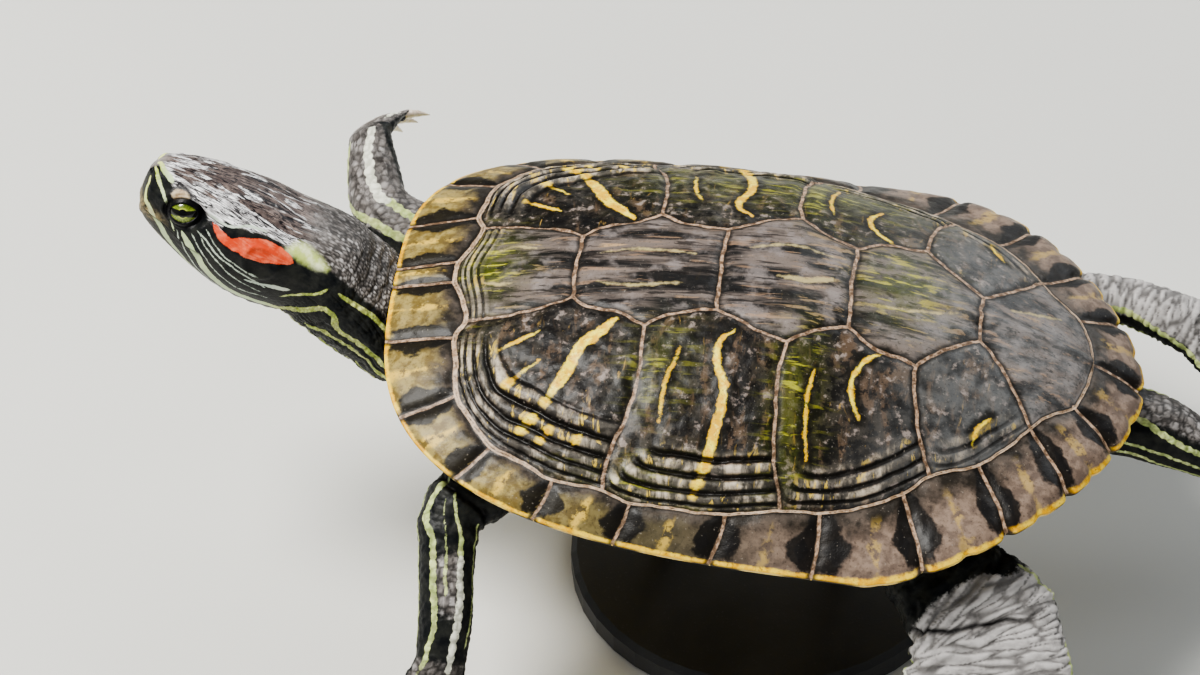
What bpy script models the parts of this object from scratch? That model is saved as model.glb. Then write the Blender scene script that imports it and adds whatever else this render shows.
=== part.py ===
"""Adult red-eared slider swimming, as a life-size display model on a plain stand.

Lengths in the constants are millimetres in the shell's own frame: +X to the
tail, -Y to the animal's left, +Z up, origin midway along the carapace at the
level of its rear rim.  place() turns that frame nose-up, lifts it over the
stand and gives metres.
"""
import bpy
import bmesh
import math
import numpy as np
from mathutils import Matrix, Vector

# ------------------------------------------------------------ driving dimensions
MM = 0.001
GAP = 0.3                    # clearance between touching pieces

FRONT_X, REAR_X = -100.0, 100.0     # carapace 200 long
WIDEST_X = 31.5
HALF_WIDTH = 76.0            # carapace half width at its widest
DOME_TOP = 27.0              # top of the dome above the rear rim
RIM_FRONT, RIM_SIDE, RIM_REAR = 3.6, -9.5, -1.0
RIM_DIP_FRONT, RIM_DIP_REAR = 1.55, 7.0     # how late the rim dips to the bridges
OUTLINE_FRONT, OUTLINE_REAR = 3.3, 1.64     # superellipse exponents
DOME_POWER = 2.08
DOME_SAG, SAG_FROM = 5.0, 5.0        # how the dome falls away behind its middle
SHELL_THICK, RIM_THICK = 4.6, 1.8

PLASTRON_FRONT, PLASTRON_REAR = -88.0, 82.0
PLASTRON_Z = -38.0
PLASTRON_THICK = 4.0
BRIDGE_FRONT, BRIDGE_REAR = -42.0, 36.0

PITCH = 5.9                  # nose-up swimming attitude, degrees
LIFT = 84.0                  # shell origin above the floor

BASE_RADIUS, BASE_THICK = 54.0, 8.0
ROD_RADIUS = 3.0
ROD_X = (-26.0, 24.0)

HEAD_AT = (-155.9, 5.0, 19.0)       # middle of the head at the eyes
HEAD_YAW, HEAD_PITCH, HEAD_ROLL = 3.0, 21.0, 11.0
HEAD_SCALE = 1.03
EYE_RADIUS = 4.7
AROUND = 12                  # facets round a leg
EYE_SIDE, EYE_UP, EYE_BACK = 7.4, -0.5, 0.2
MOUTH_UP, MOUTH_SLOPE, MOUTH_CORNER = -6.6, 0.05, -9.0

# ---------------------------------------------------------------- clean the file
for old in list(bpy.data.objects):
    bpy.data.objects.remove(old, do_unlink=True)

PARTS = bpy.data.collections.new("red_eared_slider")
CUTTERS = bpy.data.collections.new("cutters")
bpy.context.scene.collection.children.link(PARTS)
bpy.context.scene.collection.children.link(CUTTERS)


def place(p):
    """Shell frame, millimetres, to the model frame, metres."""
    p = np.asarray(p, float)
    c, s = math.cos(math.radians(PITCH)), math.sin(math.radians(PITCH))
    x = p[..., 0] * c + p[..., 2] * s
    z = -p[..., 0] * s + p[..., 2] * c + LIFT
    return np.stack([x, p[..., 1], z], -1) * MM


MATERIALS = {}


def material(name, rgb, rough, metallic=0.0):
    if name not in MATERIALS:
        m = bpy.data.materials.new(name)
        m.use_nodes = True
        b = m.node_tree.nodes["Principled BSDF"]
        b.inputs["Base Color"].default_value = (*rgb, 1.0)
        b.inputs["Roughness"].default_value = rough
        b.inputs["Metallic"].default_value = metallic
        MATERIALS[name] = m
    return MATERIALS[name]


SHELL = material("shell", (0.085, 0.075, 0.045), 0.28)
BELLY = material("plastron_horn", (0.62, 0.50, 0.20), 0.35)
SKIN_DARK = material("skin", (0.045, 0.050, 0.038), 0.45)
HORN = material("claw_horn", (0.20, 0.16, 0.09), 0.35)
EYE = material("eye", (0.34, 0.42, 0.06), 0.08)
STAND = material("stand_paint", (0.42, 0.42, 0.40), 0.45)


def add_mesh(name, bm, mat, collection=PARTS, smooth=True):
    bmesh.ops.recalc_face_normals(bm, faces=bm.faces)
    if bm.calc_volume(signed=True) < 0:
        bmesh.ops.reverse_faces(bm, faces=bm.faces)
    me = bpy.data.meshes.new(name)
    bm.to_mesh(me)
    bm.free()
    ob = bpy.data.objects.new(name, me)
    collection.objects.link(ob)
    me.materials.append(mat)
    if smooth:
        me.shade_smooth()
        me.set_sharp_from_angle(angle=math.radians(45))
    if collection is CUTTERS:
        ob.hide_render = True
        ob.display_type = 'WIRE'
    return ob


def skin_rings(rings, close_ends=True):
    """A closed body through rings of equally many points (shell frame)."""
    bm = bmesh.new()
    loops = []
    for ring in rings:
        loops.append([bm.verts.new(Vector(q)) for q in place(ring)])
    n = len(loops[0])
    for a, b in zip(loops[:-1], loops[1:]):
        for i in range(n):
            j = (i + 1) % n
            bm.faces.new((a[i], a[j], b[j], b[i]))
    if close_ends:
        for loop in (loops[0], loops[-1]):
            mid = bm.verts.new(sum((v.co for v in loop), Vector()) / n)
            for i in range(n):
                bm.faces.new((loop[i], loop[(i + 1) % n], mid))
    return bm


# ------------------------------------------------------------------- shell shape
def outline(c, s):
    """Reach of the rim in the normalised direction (c, s); c < 0 is forward."""
    n = OUTLINE_FRONT if c < 0 else OUTLINE_REAR
    return (abs(c) ** n + abs(s) ** n) ** (-1.0 / n)


def rim_height(c, yr):
    end, power = (RIM_FRONT, RIM_DIP_FRONT) if c < 0 else (RIM_REAR, RIM_DIP_REAR)
    return end + (RIM_SIDE - end) * abs(yr) ** power


def sag(x, rho):
    """Fall of the dome towards the tail, none at the rim."""
    u = (x - SAG_FROM) / (REAR_X - SAG_FROM)
    if u <= 0.0 or u >= 1.0:
        return 0.0
    w = min(1.0, max(0.0, 1.0 - rho) / 0.25)
    return DOME_SAG * math.sin(math.pi * u) * w * w * (3.0 - 2.0 * w)


def shell_point(t, rho, drop=0.0):
    """Carapace surface at angle t (0 rear, pi front) and radius share rho."""
    c, s = math.cos(t), math.sin(t)
    reach = outline(c, s)
    a = (WIDEST_X - FRONT_X) if c < 0 else (REAR_X - WIDEST_X)
    x = WIDEST_X + a * c * reach * rho
    y = HALF_WIDTH * s * reach * rho
    f = 1.0 - rho ** DOME_POWER
    z = DOME_TOP * f + rim_height(c, s * reach) * (1.0 - f) - sag(x, rho)
    return (x, y, z - drop)


def shell_top(x, y):
    """Height of the carapace's upper surface over a point of the plan."""
    front = x < WIDEST_X
    a = (WIDEST_X - FRONT_X) if front else (REAR_X - WIDEST_X)
    n = OUTLINE_FRONT if front else OUTLINE_REAR
    u, v = abs(x - WIDEST_X) / a, abs(y) / HALF_WIDTH
    rho = (u ** n + v ** n) ** (1.0 / n)
    if rho < 1e-6:
        return DOME_TOP
    f = 1.0 - rho ** DOME_POWER
    return DOME_TOP * f + rim_height(-1 if front else 1, v / rho) * (1.0 - f) - sag(x, rho)


def carapace():
    turns = 66
    top = (0.16, 0.34, 0.50, 0.64, 0.76, 0.86, 0.94, 1.0)
    under = (0.97, 0.86, 0.62, 0.30)
    rings = []
    for rho in top:
        rings.append([shell_point(2 * math.pi * i / turns, rho) for i in range(turns)])
    for rho in under:
        k = min(1.0, (1.0 - rho) / 0.14)
        drop = RIM_THICK + (SHELL_THICK - RIM_THICK) * k
        rings.append([shell_point(2 * math.pi * i / turns, rho, drop) for i in range(turns)])
    add_mesh("carapace", skin_rings(rings), SHELL)


def plastron_half_width(x):
    """Half width of the plastron with its bridges."""
    length = PLASTRON_REAR - PLASTRON_FRONT
    lobe_front = 45.0 * max(0.0, 1 - ((PLASTRON_FRONT + 40 - x) / 40.0) ** 2.6) ** 0.5 \
        if x < PLASTRON_FRONT + 40 else 45.0
    lobe_rear = 42.0 * max(0.0, 1 - ((x - PLASTRON_REAR + 52) / 52.0) ** 2.0) ** 0.6 \
        if x > PLASTRON_REAR - 52 else 42.0
    lobe = min(lobe_front, lobe_rear)
    into = min(x - BRIDGE_FRONT, BRIDGE_REAR - x) / 9.0
    step = min(1.0, max(0.0, into))
    step = step * step * (3 - 2 * step)
    return max(lobe, lobe + (67.5 - lobe) * step)


def plastron_ends(x):
    """How far the two lobes of the plastron turn up."""
    return 3.0 * max(0.0, (-62.0 - x) / 26.0) ** 2 + 3.0 * max(0.0, (x - 44.0) / 38.0) ** 2


def plastron_low(x, y):
    rise = 0.0
    if abs(y) > 43.0:
        rise = 22.5 * ((abs(y) - 43.0) / 24.5) ** 1.25
    return PLASTRON_Z + rise + plastron_ends(x) + 0.6 * (abs(y) / 45.0) ** 2


def plastron():
    xs = [PLASTRON_FRONT + 0.6, -85, -79, -70, -58, -43, -39.5, -36, -32,
          -12, 8, 26, 30, 33.5, 37, 50, 63, 73, 79, PLASTRON_REAR - 0.6]
    cols = [-1, -0.9, -0.79, -0.68, -0.45, 0, 0.45, 0.68, 0.79, 0.9, 1]
    rings = []
    for x in xs:
        w = plastron_half_width(x)
        low = [(x, w * k, plastron_low(x, w * k)) for k in cols]
        high = [(x, w * k * 0.99, plastron_low(x, w * k) + PLASTRON_THICK
                 * (1.0 + 0.25 * (abs(w * k) > 50))) for k in reversed(cols)]
        rings.append(low + high)
    add_mesh("plastron", skin_rings(rings), BELLY)


def trunk_half_width(x):
    t = abs(x - 4.0) / 84.0
    return 50.0 * max(0.0, 1 - t ** 2.6) ** 0.5


def trunk():
    count, steps = 18, 12
    rings = []
    for k in range(steps + 1):
        x = -79.0 + 160.0 * k / steps
        w = trunk_half_width(x) + 2.0
        top, low = [], []
        for i in range(count // 2 + 1):
            phi = math.pi * i / (count // 2)
            y = w * math.cos(phi)
            s = max(0.0, math.sin(phi)) ** 0.62
            roof = min(shell_top(x, y) - SHELL_THICK - 2.2, 20.0)
            top.append((x, y, -12.0 + (roof + 12.0) * s))
            floor = PLASTRON_Z + PLASTRON_THICK + 1.3 + plastron_ends(x)
            low.append((x, y, -12.0 + (floor + 12.0) * s))
        rings.append(top + low[-2:0:-1])
    body = add_mesh("trunk", skin_rings(rings), SKIN_DARK)
    # the same body swollen by the gap, to fit the legs, neck and tail to it
    bm = bmesh.new()
    bm.from_mesh(body.data)
    bm.normal_update()
    moved = [v.co + v.normal * GAP * 1.7 * MM for v in bm.verts]
    for v, co in zip(bm.verts, moved):
        v.co = co
    return body, add_mesh("trunk_tool", bm, SKIN_DARK, CUTTERS)


# ---------------------------------------------------------------- limbs and neck
def smooth_table(table, count):
    """Rows of numbers read off a smooth curve through the given rows."""
    t = np.asarray(table, float)
    seg = np.linalg.norm(np.diff(t[:, :3], axis=0), axis=1)
    knots = np.concatenate([[0], np.cumsum(seg)])
    want = np.linspace(0, knots[-1], count)
    out = np.zeros((count, t.shape[1]))
    slopes = np.gradient(t, knots, axis=0)
    for k, s in enumerate(want):
        i = min(np.searchsorted(knots, s, side='right') - 1, len(knots) - 2)
        h = knots[i + 1] - knots[i]
        u = (s - knots[i]) / h
        out[k] = ((2 * u ** 3 - 3 * u ** 2 + 1) * t[i] + (u ** 3 - 2 * u ** 2 + u) * h * slopes[i]
                  + (-2 * u ** 3 + 3 * u ** 2) * t[i + 1] + (u ** 3 - u ** 2) * h * slopes[i + 1])
    return out


def unit(v):
    v = np.asarray(v, float)
    return v / np.linalg.norm(v)


def limb_rings(rows, up, around=12, power=2.2, up_end=None):
    """Rings across a limb: rows hold x, y, z, half width, half height."""
    rows = np.asarray(rows, float)
    up = np.asarray(up, float)
    tangents = np.gradient(rows[:, :3], axis=0)
    rings = []
    for k, (row, tan) in enumerate(zip(rows, tangents)):
        tan = unit(tan)
        u = k / (len(rows) - 1)
        ref = up if up_end is None else unit(up) * (1 - u) + unit(up_end) * u
        side = unit(np.cross(tan, ref))
        lift = np.cross(side, tan)
        ring = []
        for i in range(around):
            a = 2 * math.pi * i / around
            c, s = math.cos(a), math.sin(a)
            ca = math.copysign(abs(c) ** (2 / power), c)
            sa = math.copysign(abs(s) ** (2 / power), s)
            ring.append(row[:3] + side * ca * row[3] + lift * sa * row[4])
        rings.append(np.array(ring))
    return rings


def limb(name_upper, name_lower, table, up, up_end, cut_by, count=12, split=6):
    rows = smooth_table(table, count)
    rings = limb_rings(rows, up, AROUND, 2.2, up_end)
    upper = add_mesh(name_upper, skin_rings(rings[:split + 1]), SKIN_DARK)
    # the lower length starts one gap further along, on the same section
    a, b = rings[split], rings[split + 1]
    step = np.linalg.norm(rows[split + 1, :3] - rows[split, :3])
    first = a + (b - a) * (GAP / step)
    add_mesh(name_lower, skin_rings([first] + rings[split + 1:]), SKIN_DARK)
    cut = upper.modifiers.new("fit_trunk", 'BOOLEAN')
    cut.operation = 'DIFFERENCE'
    cut.solver = 'EXACT'
    cut.object = cut_by
    return rings[-1], unit(rows[-1, :3] - rows[-2, :3])


def toe_rings(start, direction, bend, length, r0, r1, up, around=6, count=3):
    rows = []
    d = unit(direction)
    for k in range(count):
        u = k / (count - 1)
        p = np.asarray(start, float) + d * length * u + np.asarray(bend, float) * length * u * u
        r = r0 + (r1 - r0) * u
        rows.append((*p, r, r * 0.92))
    rows = np.array(rows)
    return rows, limb_rings(rows, up, around, 2.0)


def foot_axes(forward, spread):
    fwd = unit(forward)
    side = unit(np.asarray(spread, float) - np.dot(spread, fwd) * fwd)
    return fwd, side, np.cross(side, fwd)


def foot(name, wrist, axes, palm, toes, web, claw, claws):
    """Webbed foot: a flat palm and web joined with its toes, and loose claws.

    wrist is the end ring of the leg and its direction, palm gives length and
    half widths, toes holds (angle, length) for each toe, web the reach of the
    webbing past the palm.
    """
    fwd, side, nor = axes
    end_ring, end_dir = wrist
    start = end_ring.mean(axis=0) + end_dir * GAP
    length, half0, half1, thick0, thick1 = palm
    # palm and web as one flat body that widens to the toes
    rows = []
    reach = length + web
    for u in (0.30, 0.55, 0.8, 1.0):
        half = half0 + (half1 - half0) * (u ** 0.8)
        th = thick0 + (thick1 - thick0) * min(1.0, u * 1.35)
        rows.append((u * reach, half, th))
    rings = [end_ring + end_dir * GAP]
    for d, half, th in rows:
        ring = []
        for i in range(AROUND):
            a = 2 * math.pi * i / AROUND
            c, s = math.cos(a), math.sin(a)
            ca = math.copysign(abs(c) ** 0.8, c)
            across = half * ca
            back = 0.16 * (across / max(half, 1e-6)) ** 2 * d      # rounded front edge
            ring.append(start + fwd * (d - back) + side * across + nor * th * s)
        rings.append(np.array(ring))
    body = add_mesh(name, skin_rings(rings), SKIN_DARK)
    tips = []
    for k, (angle, toe_length) in enumerate(toes):
        a = math.radians(angle)
        d = unit(fwd * math.cos(a) + side * math.sin(a))
        root = start + fwd * length * 0.62 + side * math.sin(a) * half1 * 0.42 + nor * thick1 * 0.25
        bend = -nor * 0.10
        r0, r1 = claw[3], claw[3] * 0.72
        _, trings = toe_rings(root, d, bend, toe_length, r0, r1, nor)
        tool = add_mesh(f"{name}_toe_{k + 1}_tool", skin_rings(trings), SKIN_DARK, CUTTERS)
        join = body.modifiers.new(f"toe_{k + 1}", 'BOOLEAN')
        join.operation = 'UNION'
        join.solver = 'EXACT'
        join.object = tool
        end = trings[-1].mean(axis=0)
        aim = unit(trings[-1].mean(axis=0) - trings[-2].mean(axis=0))
        tips.append((end, aim))
    claw_length, claw_radius, claw_drop = claw[0], claw[1], claw[2]
    for k in claws:
        end, aim = tips[k]
        rows = []
        for u in (0.0, 0.5, 1.0):
            p = end + aim * (GAP + claw_length * u) - nor * claw_drop * u * u
            r = claw_radius * (1 - 0.86 * u ** 1.3)
            rows.append((*p, r, r * 1.15))
        # every section stays parallel to the toe's end
        lift = unit(nor - np.dot(nor, aim) * aim)
        across = np.cross(aim, lift)
        rings = [np.array([row[:3] + across * row[3] * math.cos(2 * math.pi * i / 6)
                           + lift * row[4] * math.sin(2 * math.pi * i / 6)
                           for i in range(6)]) for row in np.array(rows)]
        add_mesh(f"claw_{name.replace('foot', '')}_{k + 1}".replace("__", "_"),
                 skin_rings(rings), HORN)
    return body


# -------------------------------------------------------------------------- head
def head_axes():
    y, p, r = (math.radians(a) for a in (HEAD_YAW, HEAD_PITCH, HEAD_ROLL))
    f = np.array([-math.cos(p) * math.cos(y), math.cos(p) * math.sin(y), math.sin(p)])
    left = np.array([-math.sin(y), -math.cos(y), 0.0])
    up = np.cross(f, left)
    return f, math.cos(r) * left + math.sin(r) * up, -math.sin(r) * left + math.cos(r) * up


HEAD_F, HEAD_L, HEAD_U = head_axes()

# distance behind the snout tip, half width, crown height, jaw depth, crown taper
HEAD_STATIONS = (
    (0.0, 3.4, 4.4, 7.0, 0.20),
    (1.2, 5.6, 5.8, 9.4, 0.22),
    (4.0, 7.8, 7.2, 11.6, 0.26),
    (8.0, 9.8, 8.3, 13.4, 0.30),
    (12.5, 11.9, 9.2, 15.0, 0.30),
    (18.0, 14.0, 10.0, 16.8, 0.28),
    (25.0, 16.0, 10.6, 18.6, 0.24),
    (32.0, 17.0, 10.6, 19.6, 0.20),
    (39.0, 16.6, 10.2, 19.6, 0.14),
    (45.0, 16.4, 10.4, 19.0, 0.10),
)
EYE_STATION = 12.5


def head_point(p):
    """Head frame (forward, left, up) to the shell frame."""
    p = np.asarray(p, float) * HEAD_SCALE
    return (np.asarray(HEAD_AT) + p[..., 0:1] * HEAD_F + p[..., 1:2] * HEAD_L
            + p[..., 2:3] * HEAD_U)


def head_section(w, top, low, taper, around=24, power=2.35):
    pts = []
    for i in range(around):
        a = 2 * math.pi * i / around
        c, s = math.cos(a), math.sin(a)
        ca = math.copysign(abs(c) ** (2 / power), c)
        sa = math.copysign(abs(s) ** (2 / power), s)
        y = w * ca * (1 - taper * max(0.0, sa) - 0.16 * max(0.0, -sa))
        pts.append((y, top * sa if sa > 0 else low * sa))
    return np.array(pts)


def head_and_neck():
    table = np.array(HEAD_STATIONS)
    rings = []
    for d, w, top, low, taper in table:
        sec = head_section(w, top, low, taper)
        rings.append(head_point(np.column_stack([np.full(len(sec), EYE_STATION - d), sec])))
    whole = skin_rings(rings)
    head = add_mesh("head", whole, SKIN_DARK)

    # eye sockets, a gap wider than the eyeballs
    for side, name in ((1, "left"), (-1, "right")):
        centre = head_point(np.array([[EYE_BACK, side * EYE_SIDE, EYE_UP]]))[0]
        for grow, target in ((GAP, CUTTERS), (0.0, PARTS)):
            bm = bmesh.new()
            bmesh.ops.create_uvsphere(bm, u_segments=14, v_segments=8,
                                      radius=(EYE_RADIUS + grow) * MM)
            look = Vector(HEAD_L * side * 0.94 + HEAD_F * 0.26 + HEAD_U * 0.12)
            c, s = math.cos(math.radians(PITCH)), math.sin(math.radians(PITCH))
            look = Vector((look.x * c + look.z * s, look.y, -look.x * s + look.z * c))
            turn = look.to_track_quat('Z', 'Y').to_matrix().to_4x4()
            bmesh.ops.transform(bm, verts=bm.verts,
                                matrix=Matrix.Translation(Vector(place(centre))) @ turn)
            label = f"eye_{name}" if target is PARTS else f"socket_{name}_tool"
            ob = add_mesh(label, bm, EYE, target)
            if target is CUTTERS:
                cut = head.modifiers.new(f"socket_{name}", 'BOOLEAN')
                cut.operation = 'DIFFERENCE'
                cut.solver = 'EXACT'
                cut.object = ob

    # lower jaw: the part of the head under the mouth line, ahead of its corner
    for grow, target in ((0.0, "jaw"), (GAP, "mouth")):
        bm = bmesh.new()
        bmesh.ops.create_cube(bm, size=1.0)
        lo = np.array([MOUTH_CORNER - grow, -30.0, -40.0])
        hi = np.array([30.0, 30.0, MOUTH_UP + grow])
        for v in bm.verts:
            q = lo + (np.array(v.co) + 0.5) * (hi - lo)
            q[2] -= MOUTH_SLOPE * (EYE_STATION - q[0])
            v.co = Vector(place(head_point(q[None])[0]))
        tool = add_mesh(f"{target}_tool", bm, SKIN_DARK, CUTTERS, smooth=False)
        if target == "jaw":
            rings_jaw = [r.copy() for r in rings]
            jaw = add_mesh("lower_jaw", skin_rings(rings_jaw), SKIN_DARK)
            cut = jaw.modifiers.new("jaw", 'BOOLEAN')
            cut.operation = 'INTERSECT'
        else:
            cut = head.modifiers.new("mouth", 'BOOLEAN')
            cut.operation = 'DIFFERENCE'
        cut.solver = 'EXACT'
        cut.object = tool

    # neck: from inside the shell up to the back of the head
    back = head_point(np.array([[EYE_STATION - table[-1][0], 0, 0]]))[0]
    rows = [
        (-64.0, 0.0, -16.0, 16.0, 12.0, 0.0, 12.0),
        (-80.0, 0.2, -15.5, 17.0, 11.6, 0.0, 13.5),
        (-95.0, 1.0, -16.0, 17.6, 9.2, 0.12, 14.0),
        (-105.0, 2.0, -7.4, 18.0, 11.0, 0.5, 17.6),
        (back[0] + 5.5, back[1] - 0.6, back[2] - 2.6, 17.0, 12.0, 0.9, 18.8),
    ]
    rows = smooth_table(rows, 9)
    rings = []
    up0 = np.array([0.0, 0.0, 1.0])
    tangents = np.gradient(rows[:, :3], axis=0)
    for row, tan in zip(rows, tangents):
        tan = unit(tan)
        up = unit(up0 * (1 - row[5]) + HEAD_U * row[5])
        side = unit(np.cross(up, tan))
        lift = np.cross(tan, side)
        sec = head_section(row[3], row[4], row[6], 0.05, power=2.1)
        rings.append(row[:3] + sec[:, 0:1] * side + sec[:, 1:2] * lift)
    # last ring: the head's own rear section, one gap behind it
    d, w, top, low, taper = table[-1]
    sec = head_section(w, top, low, taper)
    last = head_point(np.column_stack([np.full(len(sec), EYE_STATION - d - GAP), sec]))
    if np.dot(rings[-1][0] - rings[-1][12], last[0] - last[12]) < 0:
        last = last[(12 - np.arange(24)) % 24]
    rings.append(last)
    neck = add_mesh("neck", skin_rings(rings), SKIN_DARK)
    return head, neck


# ------------------------------------------------------------------ put together
carapace()
plastron()
trunk_body, trunk_cutter = trunk()

head, neck = head_and_neck()
cut = neck.modifiers.new("fit_trunk", 'BOOLEAN')
cut.operation = 'DIFFERENCE'
cut.solver = 'EXACT'
cut.object = trunk_cutter

# joints of each leg: x, y, z, half width, half height
FORE_LEFT = ((-50, -24, -20, 11, 10.5), (-64, -42, -20.5, 10.6, 9.8), (-75, -56, -25, 8.6, 8.2),
             (-74.6, -67, -33, 7.4, 7.6), (-73, -76.5, -42, 7.2, 7.4), (-72.6, -85, -50, 6.6, 5.2))
FORE_RIGHT = ((-50, 24, -19, 11, 10), (-72, 33, -18.5, 11, 9.5), (-93, 38, -17, 10, 8.6),
              (-109, 44.4, -13.4, 8.2, 7.8), (-113, 54.5, -9.5, 7.2, 7.0), (-115.8, 64, -4.8, 6.2, 5.2))
HIND_LEFT = ((42, -22, -20, 13, 11), (46, -40, -21, 13, 10.8), (50.5, -53.5, -23.4, 13, 10.2),
             (60.5, -60.5, -27.0, 18.6, 9.4), (66.8, -67, -30.8, 21, 7.6))
HIND_RIGHT = ((44, 22, -19, 12.5, 10), (68, 42, -17.5, 11.5, 9.2), (84, 50, -16.5, 8.0, 7.2),
              (95.5, 51, -15.4, 6.6, 6.2), (106, 48.8, -16, 7.2, 6.6), (116, 46.8, -18.2, 8.6, 5.8))
TAIL = ((70, 2, -15, 10.5, 10), (90, 1.8, -12.8, 10, 9.2), (100, 1.5, -12.8, 9.8, 9.0),
        (108, 1.2, -14.6, 9.3, 8.8), (118, 0, -17.8, 7.4, 7.1), (129, -1.2, -22, 5.8, 5.6),
        (140, -2, -26.4, 3.7, 3.7), (151, -2.6, -30.5, 1.4, 1.4))

FORE_TOES = ((-36, 12.0), (-18, 14.5), (0, 15.5), (18, 14.5), (36, 12.5))
CLOSED_TOES = ((-27, 11.5), (-13, 13.5), (0, 14.5), (12, 13.5), (24, 12.0))
HIND_TOES = ((-40, 21.0), (-20, 25.0), (0, 27.0), (20, 25.0), (40, 20.0))
# palm length, half widths at wrist and web, half thicknesses; claw length, radius, curl, toe radius
FORE_PALM, FORE_CLAW = (12.0, 6.4, 10.0, 4.4, 1.4), (9.5, 1.4, 1.6, 2.0)
HIND_PALM, HIND_CLAW = (18.0, 9.6, 18.0, 5.0, 1.3), (7.0, 1.4, 1.2, 2.5)
BROAD_PALM = (18.0, 21.0, 22.5, 7.0, 1.4)

axes = foot_axes((-0.16, -0.68, -0.72), (-1.0, 0.12, 0.1))
wrist = limb("foreleg_left_upper", "foreleg_left_lower", FORE_LEFT, (0.2, -0.3, 1), axes[2], trunk_cutter)
foot("forefoot_left", wrist, axes, FORE_PALM, FORE_TOES, 5.0, FORE_CLAW, range(5))

axes = foot_axes((0.12, 0.84, -0.52), (0.76, 0.26, 0.56))
wrist = limb("foreleg_right_upper", "foreleg_right_lower", FORE_RIGHT, (0.2, 0.2, 1), axes[2], trunk_cutter)
foot("forefoot_right", wrist, axes, FORE_PALM, CLOSED_TOES, 5.0, FORE_CLAW, range(5))

axes = foot_axes((0.16, -0.80, -0.58), (-1.0, -0.1, -0.12))
wrist = limb("hindleg_left_upper", "hindleg_left_lower", HIND_LEFT, (0.1, -0.3, 1), axes[2], trunk_cutter)
foot("hindfoot_left", wrist, axes, BROAD_PALM, HIND_TOES, 10.0, HIND_CLAW, range(1, 5))

axes = foot_axes((0.93, -0.12, -0.34), (-0.12, -0.92, -0.30))
wrist = limb("hindleg_right_upper", "hindleg_right_lower", HIND_RIGHT, (0.2, 0.2, 1), axes[2], trunk_cutter)
foot("hindfoot_right", wrist, axes, HIND_PALM, HIND_TOES, 10.0, HIND_CLAW, range(4))

rows = smooth_table(TAIL, 12)
rings = limb_rings(rows, (0.0, 0.0, 1.0), 10, 2.1)
tail = add_mesh("tail", skin_rings(rings), SKIN_DARK)
cut = tail.modifiers.new("fit_trunk", 'BOOLEAN')
cut.operation = 'DIFFERENCE'
cut.solver = 'EXACT'
cut.object = trunk_cutter


# ------------------------------------------------------------------------- stand
def stand():
    profile = ((0.0, 0.0), (BASE_RADIUS - 0.8, 0.0), (BASE_RADIUS, 0.8),
               (BASE_RADIUS, BASE_THICK - 1.6), (BASE_RADIUS - 1.6, BASE_THICK), (0.0, BASE_THICK))
    bm = bmesh.new()
    turns = 40
    loops = [[bm.verts.new((r * MM * math.cos(2 * math.pi * i / turns),
                            r * MM * math.sin(2 * math.pi * i / turns), z * MM))
              for i in range(turns)] for r, z in profile[1:-1]]
    for a, b in zip(loops[:-1], loops[1:]):
        for i in range(turns):
            j = (i + 1) % turns
            bm.faces.new((a[i], a[j], b[j], b[i]))
    bm.faces.new(list(reversed(loops[0])))
    bm.faces.new(loops[-1])
    add_mesh("stand_base", bm, STAND)

    c, s = math.cos(math.radians(PITCH)), math.sin(math.radians(PITCH))
    for x, label in zip(ROD_X, ("front", "rear")):
        # the underside of the plastron over this rod, in the model frame
        low = PLASTRON_Z - GAP
        xs = (x - low * s) / c
        z_top = -xs * s + low * c + LIFT
        nor = np.array([s, 0.0, c])
        axis_top = np.array([x, 0.0, z_top])
        bm = bmesh.new()
        turns = 16
        e1 = np.array([c, 0.0, -s])
        e2 = np.array([0.0, 1.0, 0.0])
        rings = []
        for radius, z in ((ROD_RADIUS, BASE_THICK + GAP), (ROD_RADIUS, z_top - 9.0)):
            rings.append([(x + radius * math.cos(2 * math.pi * i / turns),
                           radius * math.sin(2 * math.pi * i / turns), z) for i in range(turns)])
        for radius, back in ((ROD_RADIUS + 0.2, 4.2), (8.0, 1.6), (8.0, 0.0)):
            mid = axis_top - nor * back
            rings.append([mid + e1 * radius * math.cos(2 * math.pi * i / turns)
                          + e2 * radius * math.sin(2 * math.pi * i / turns) for i in range(turns)])
        loops = [[bm.verts.new(Vector(q) * MM) for q in ring] for ring in rings]
        for a, b in zip(loops[:-1], loops[1:]):
            for i in range(turns):
                j = (i + 1) % turns
                bm.faces.new((a[i], a[j], b[j], b[i]))
        bm.faces.new(list(reversed(loops[0])))
        bm.faces.new(loops[-1])
        add_mesh(f"stand_rod_{label}", bm, STAND)


stand()
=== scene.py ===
"""Visual model of the swimming red-eared slider on its display stand.

Shapes are worked out in the shell's own frame, in millimetres: +X to the tail,
-Y the animal's left, +Z up, origin midway along the carapace at the level of
its rear rim.  place() turns that frame nose-up, lifts it over the stand and
gives metres.
"""
import math
import bpy
import numpy as np
from mathutils import Matrix, Vector, kdtree


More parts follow.
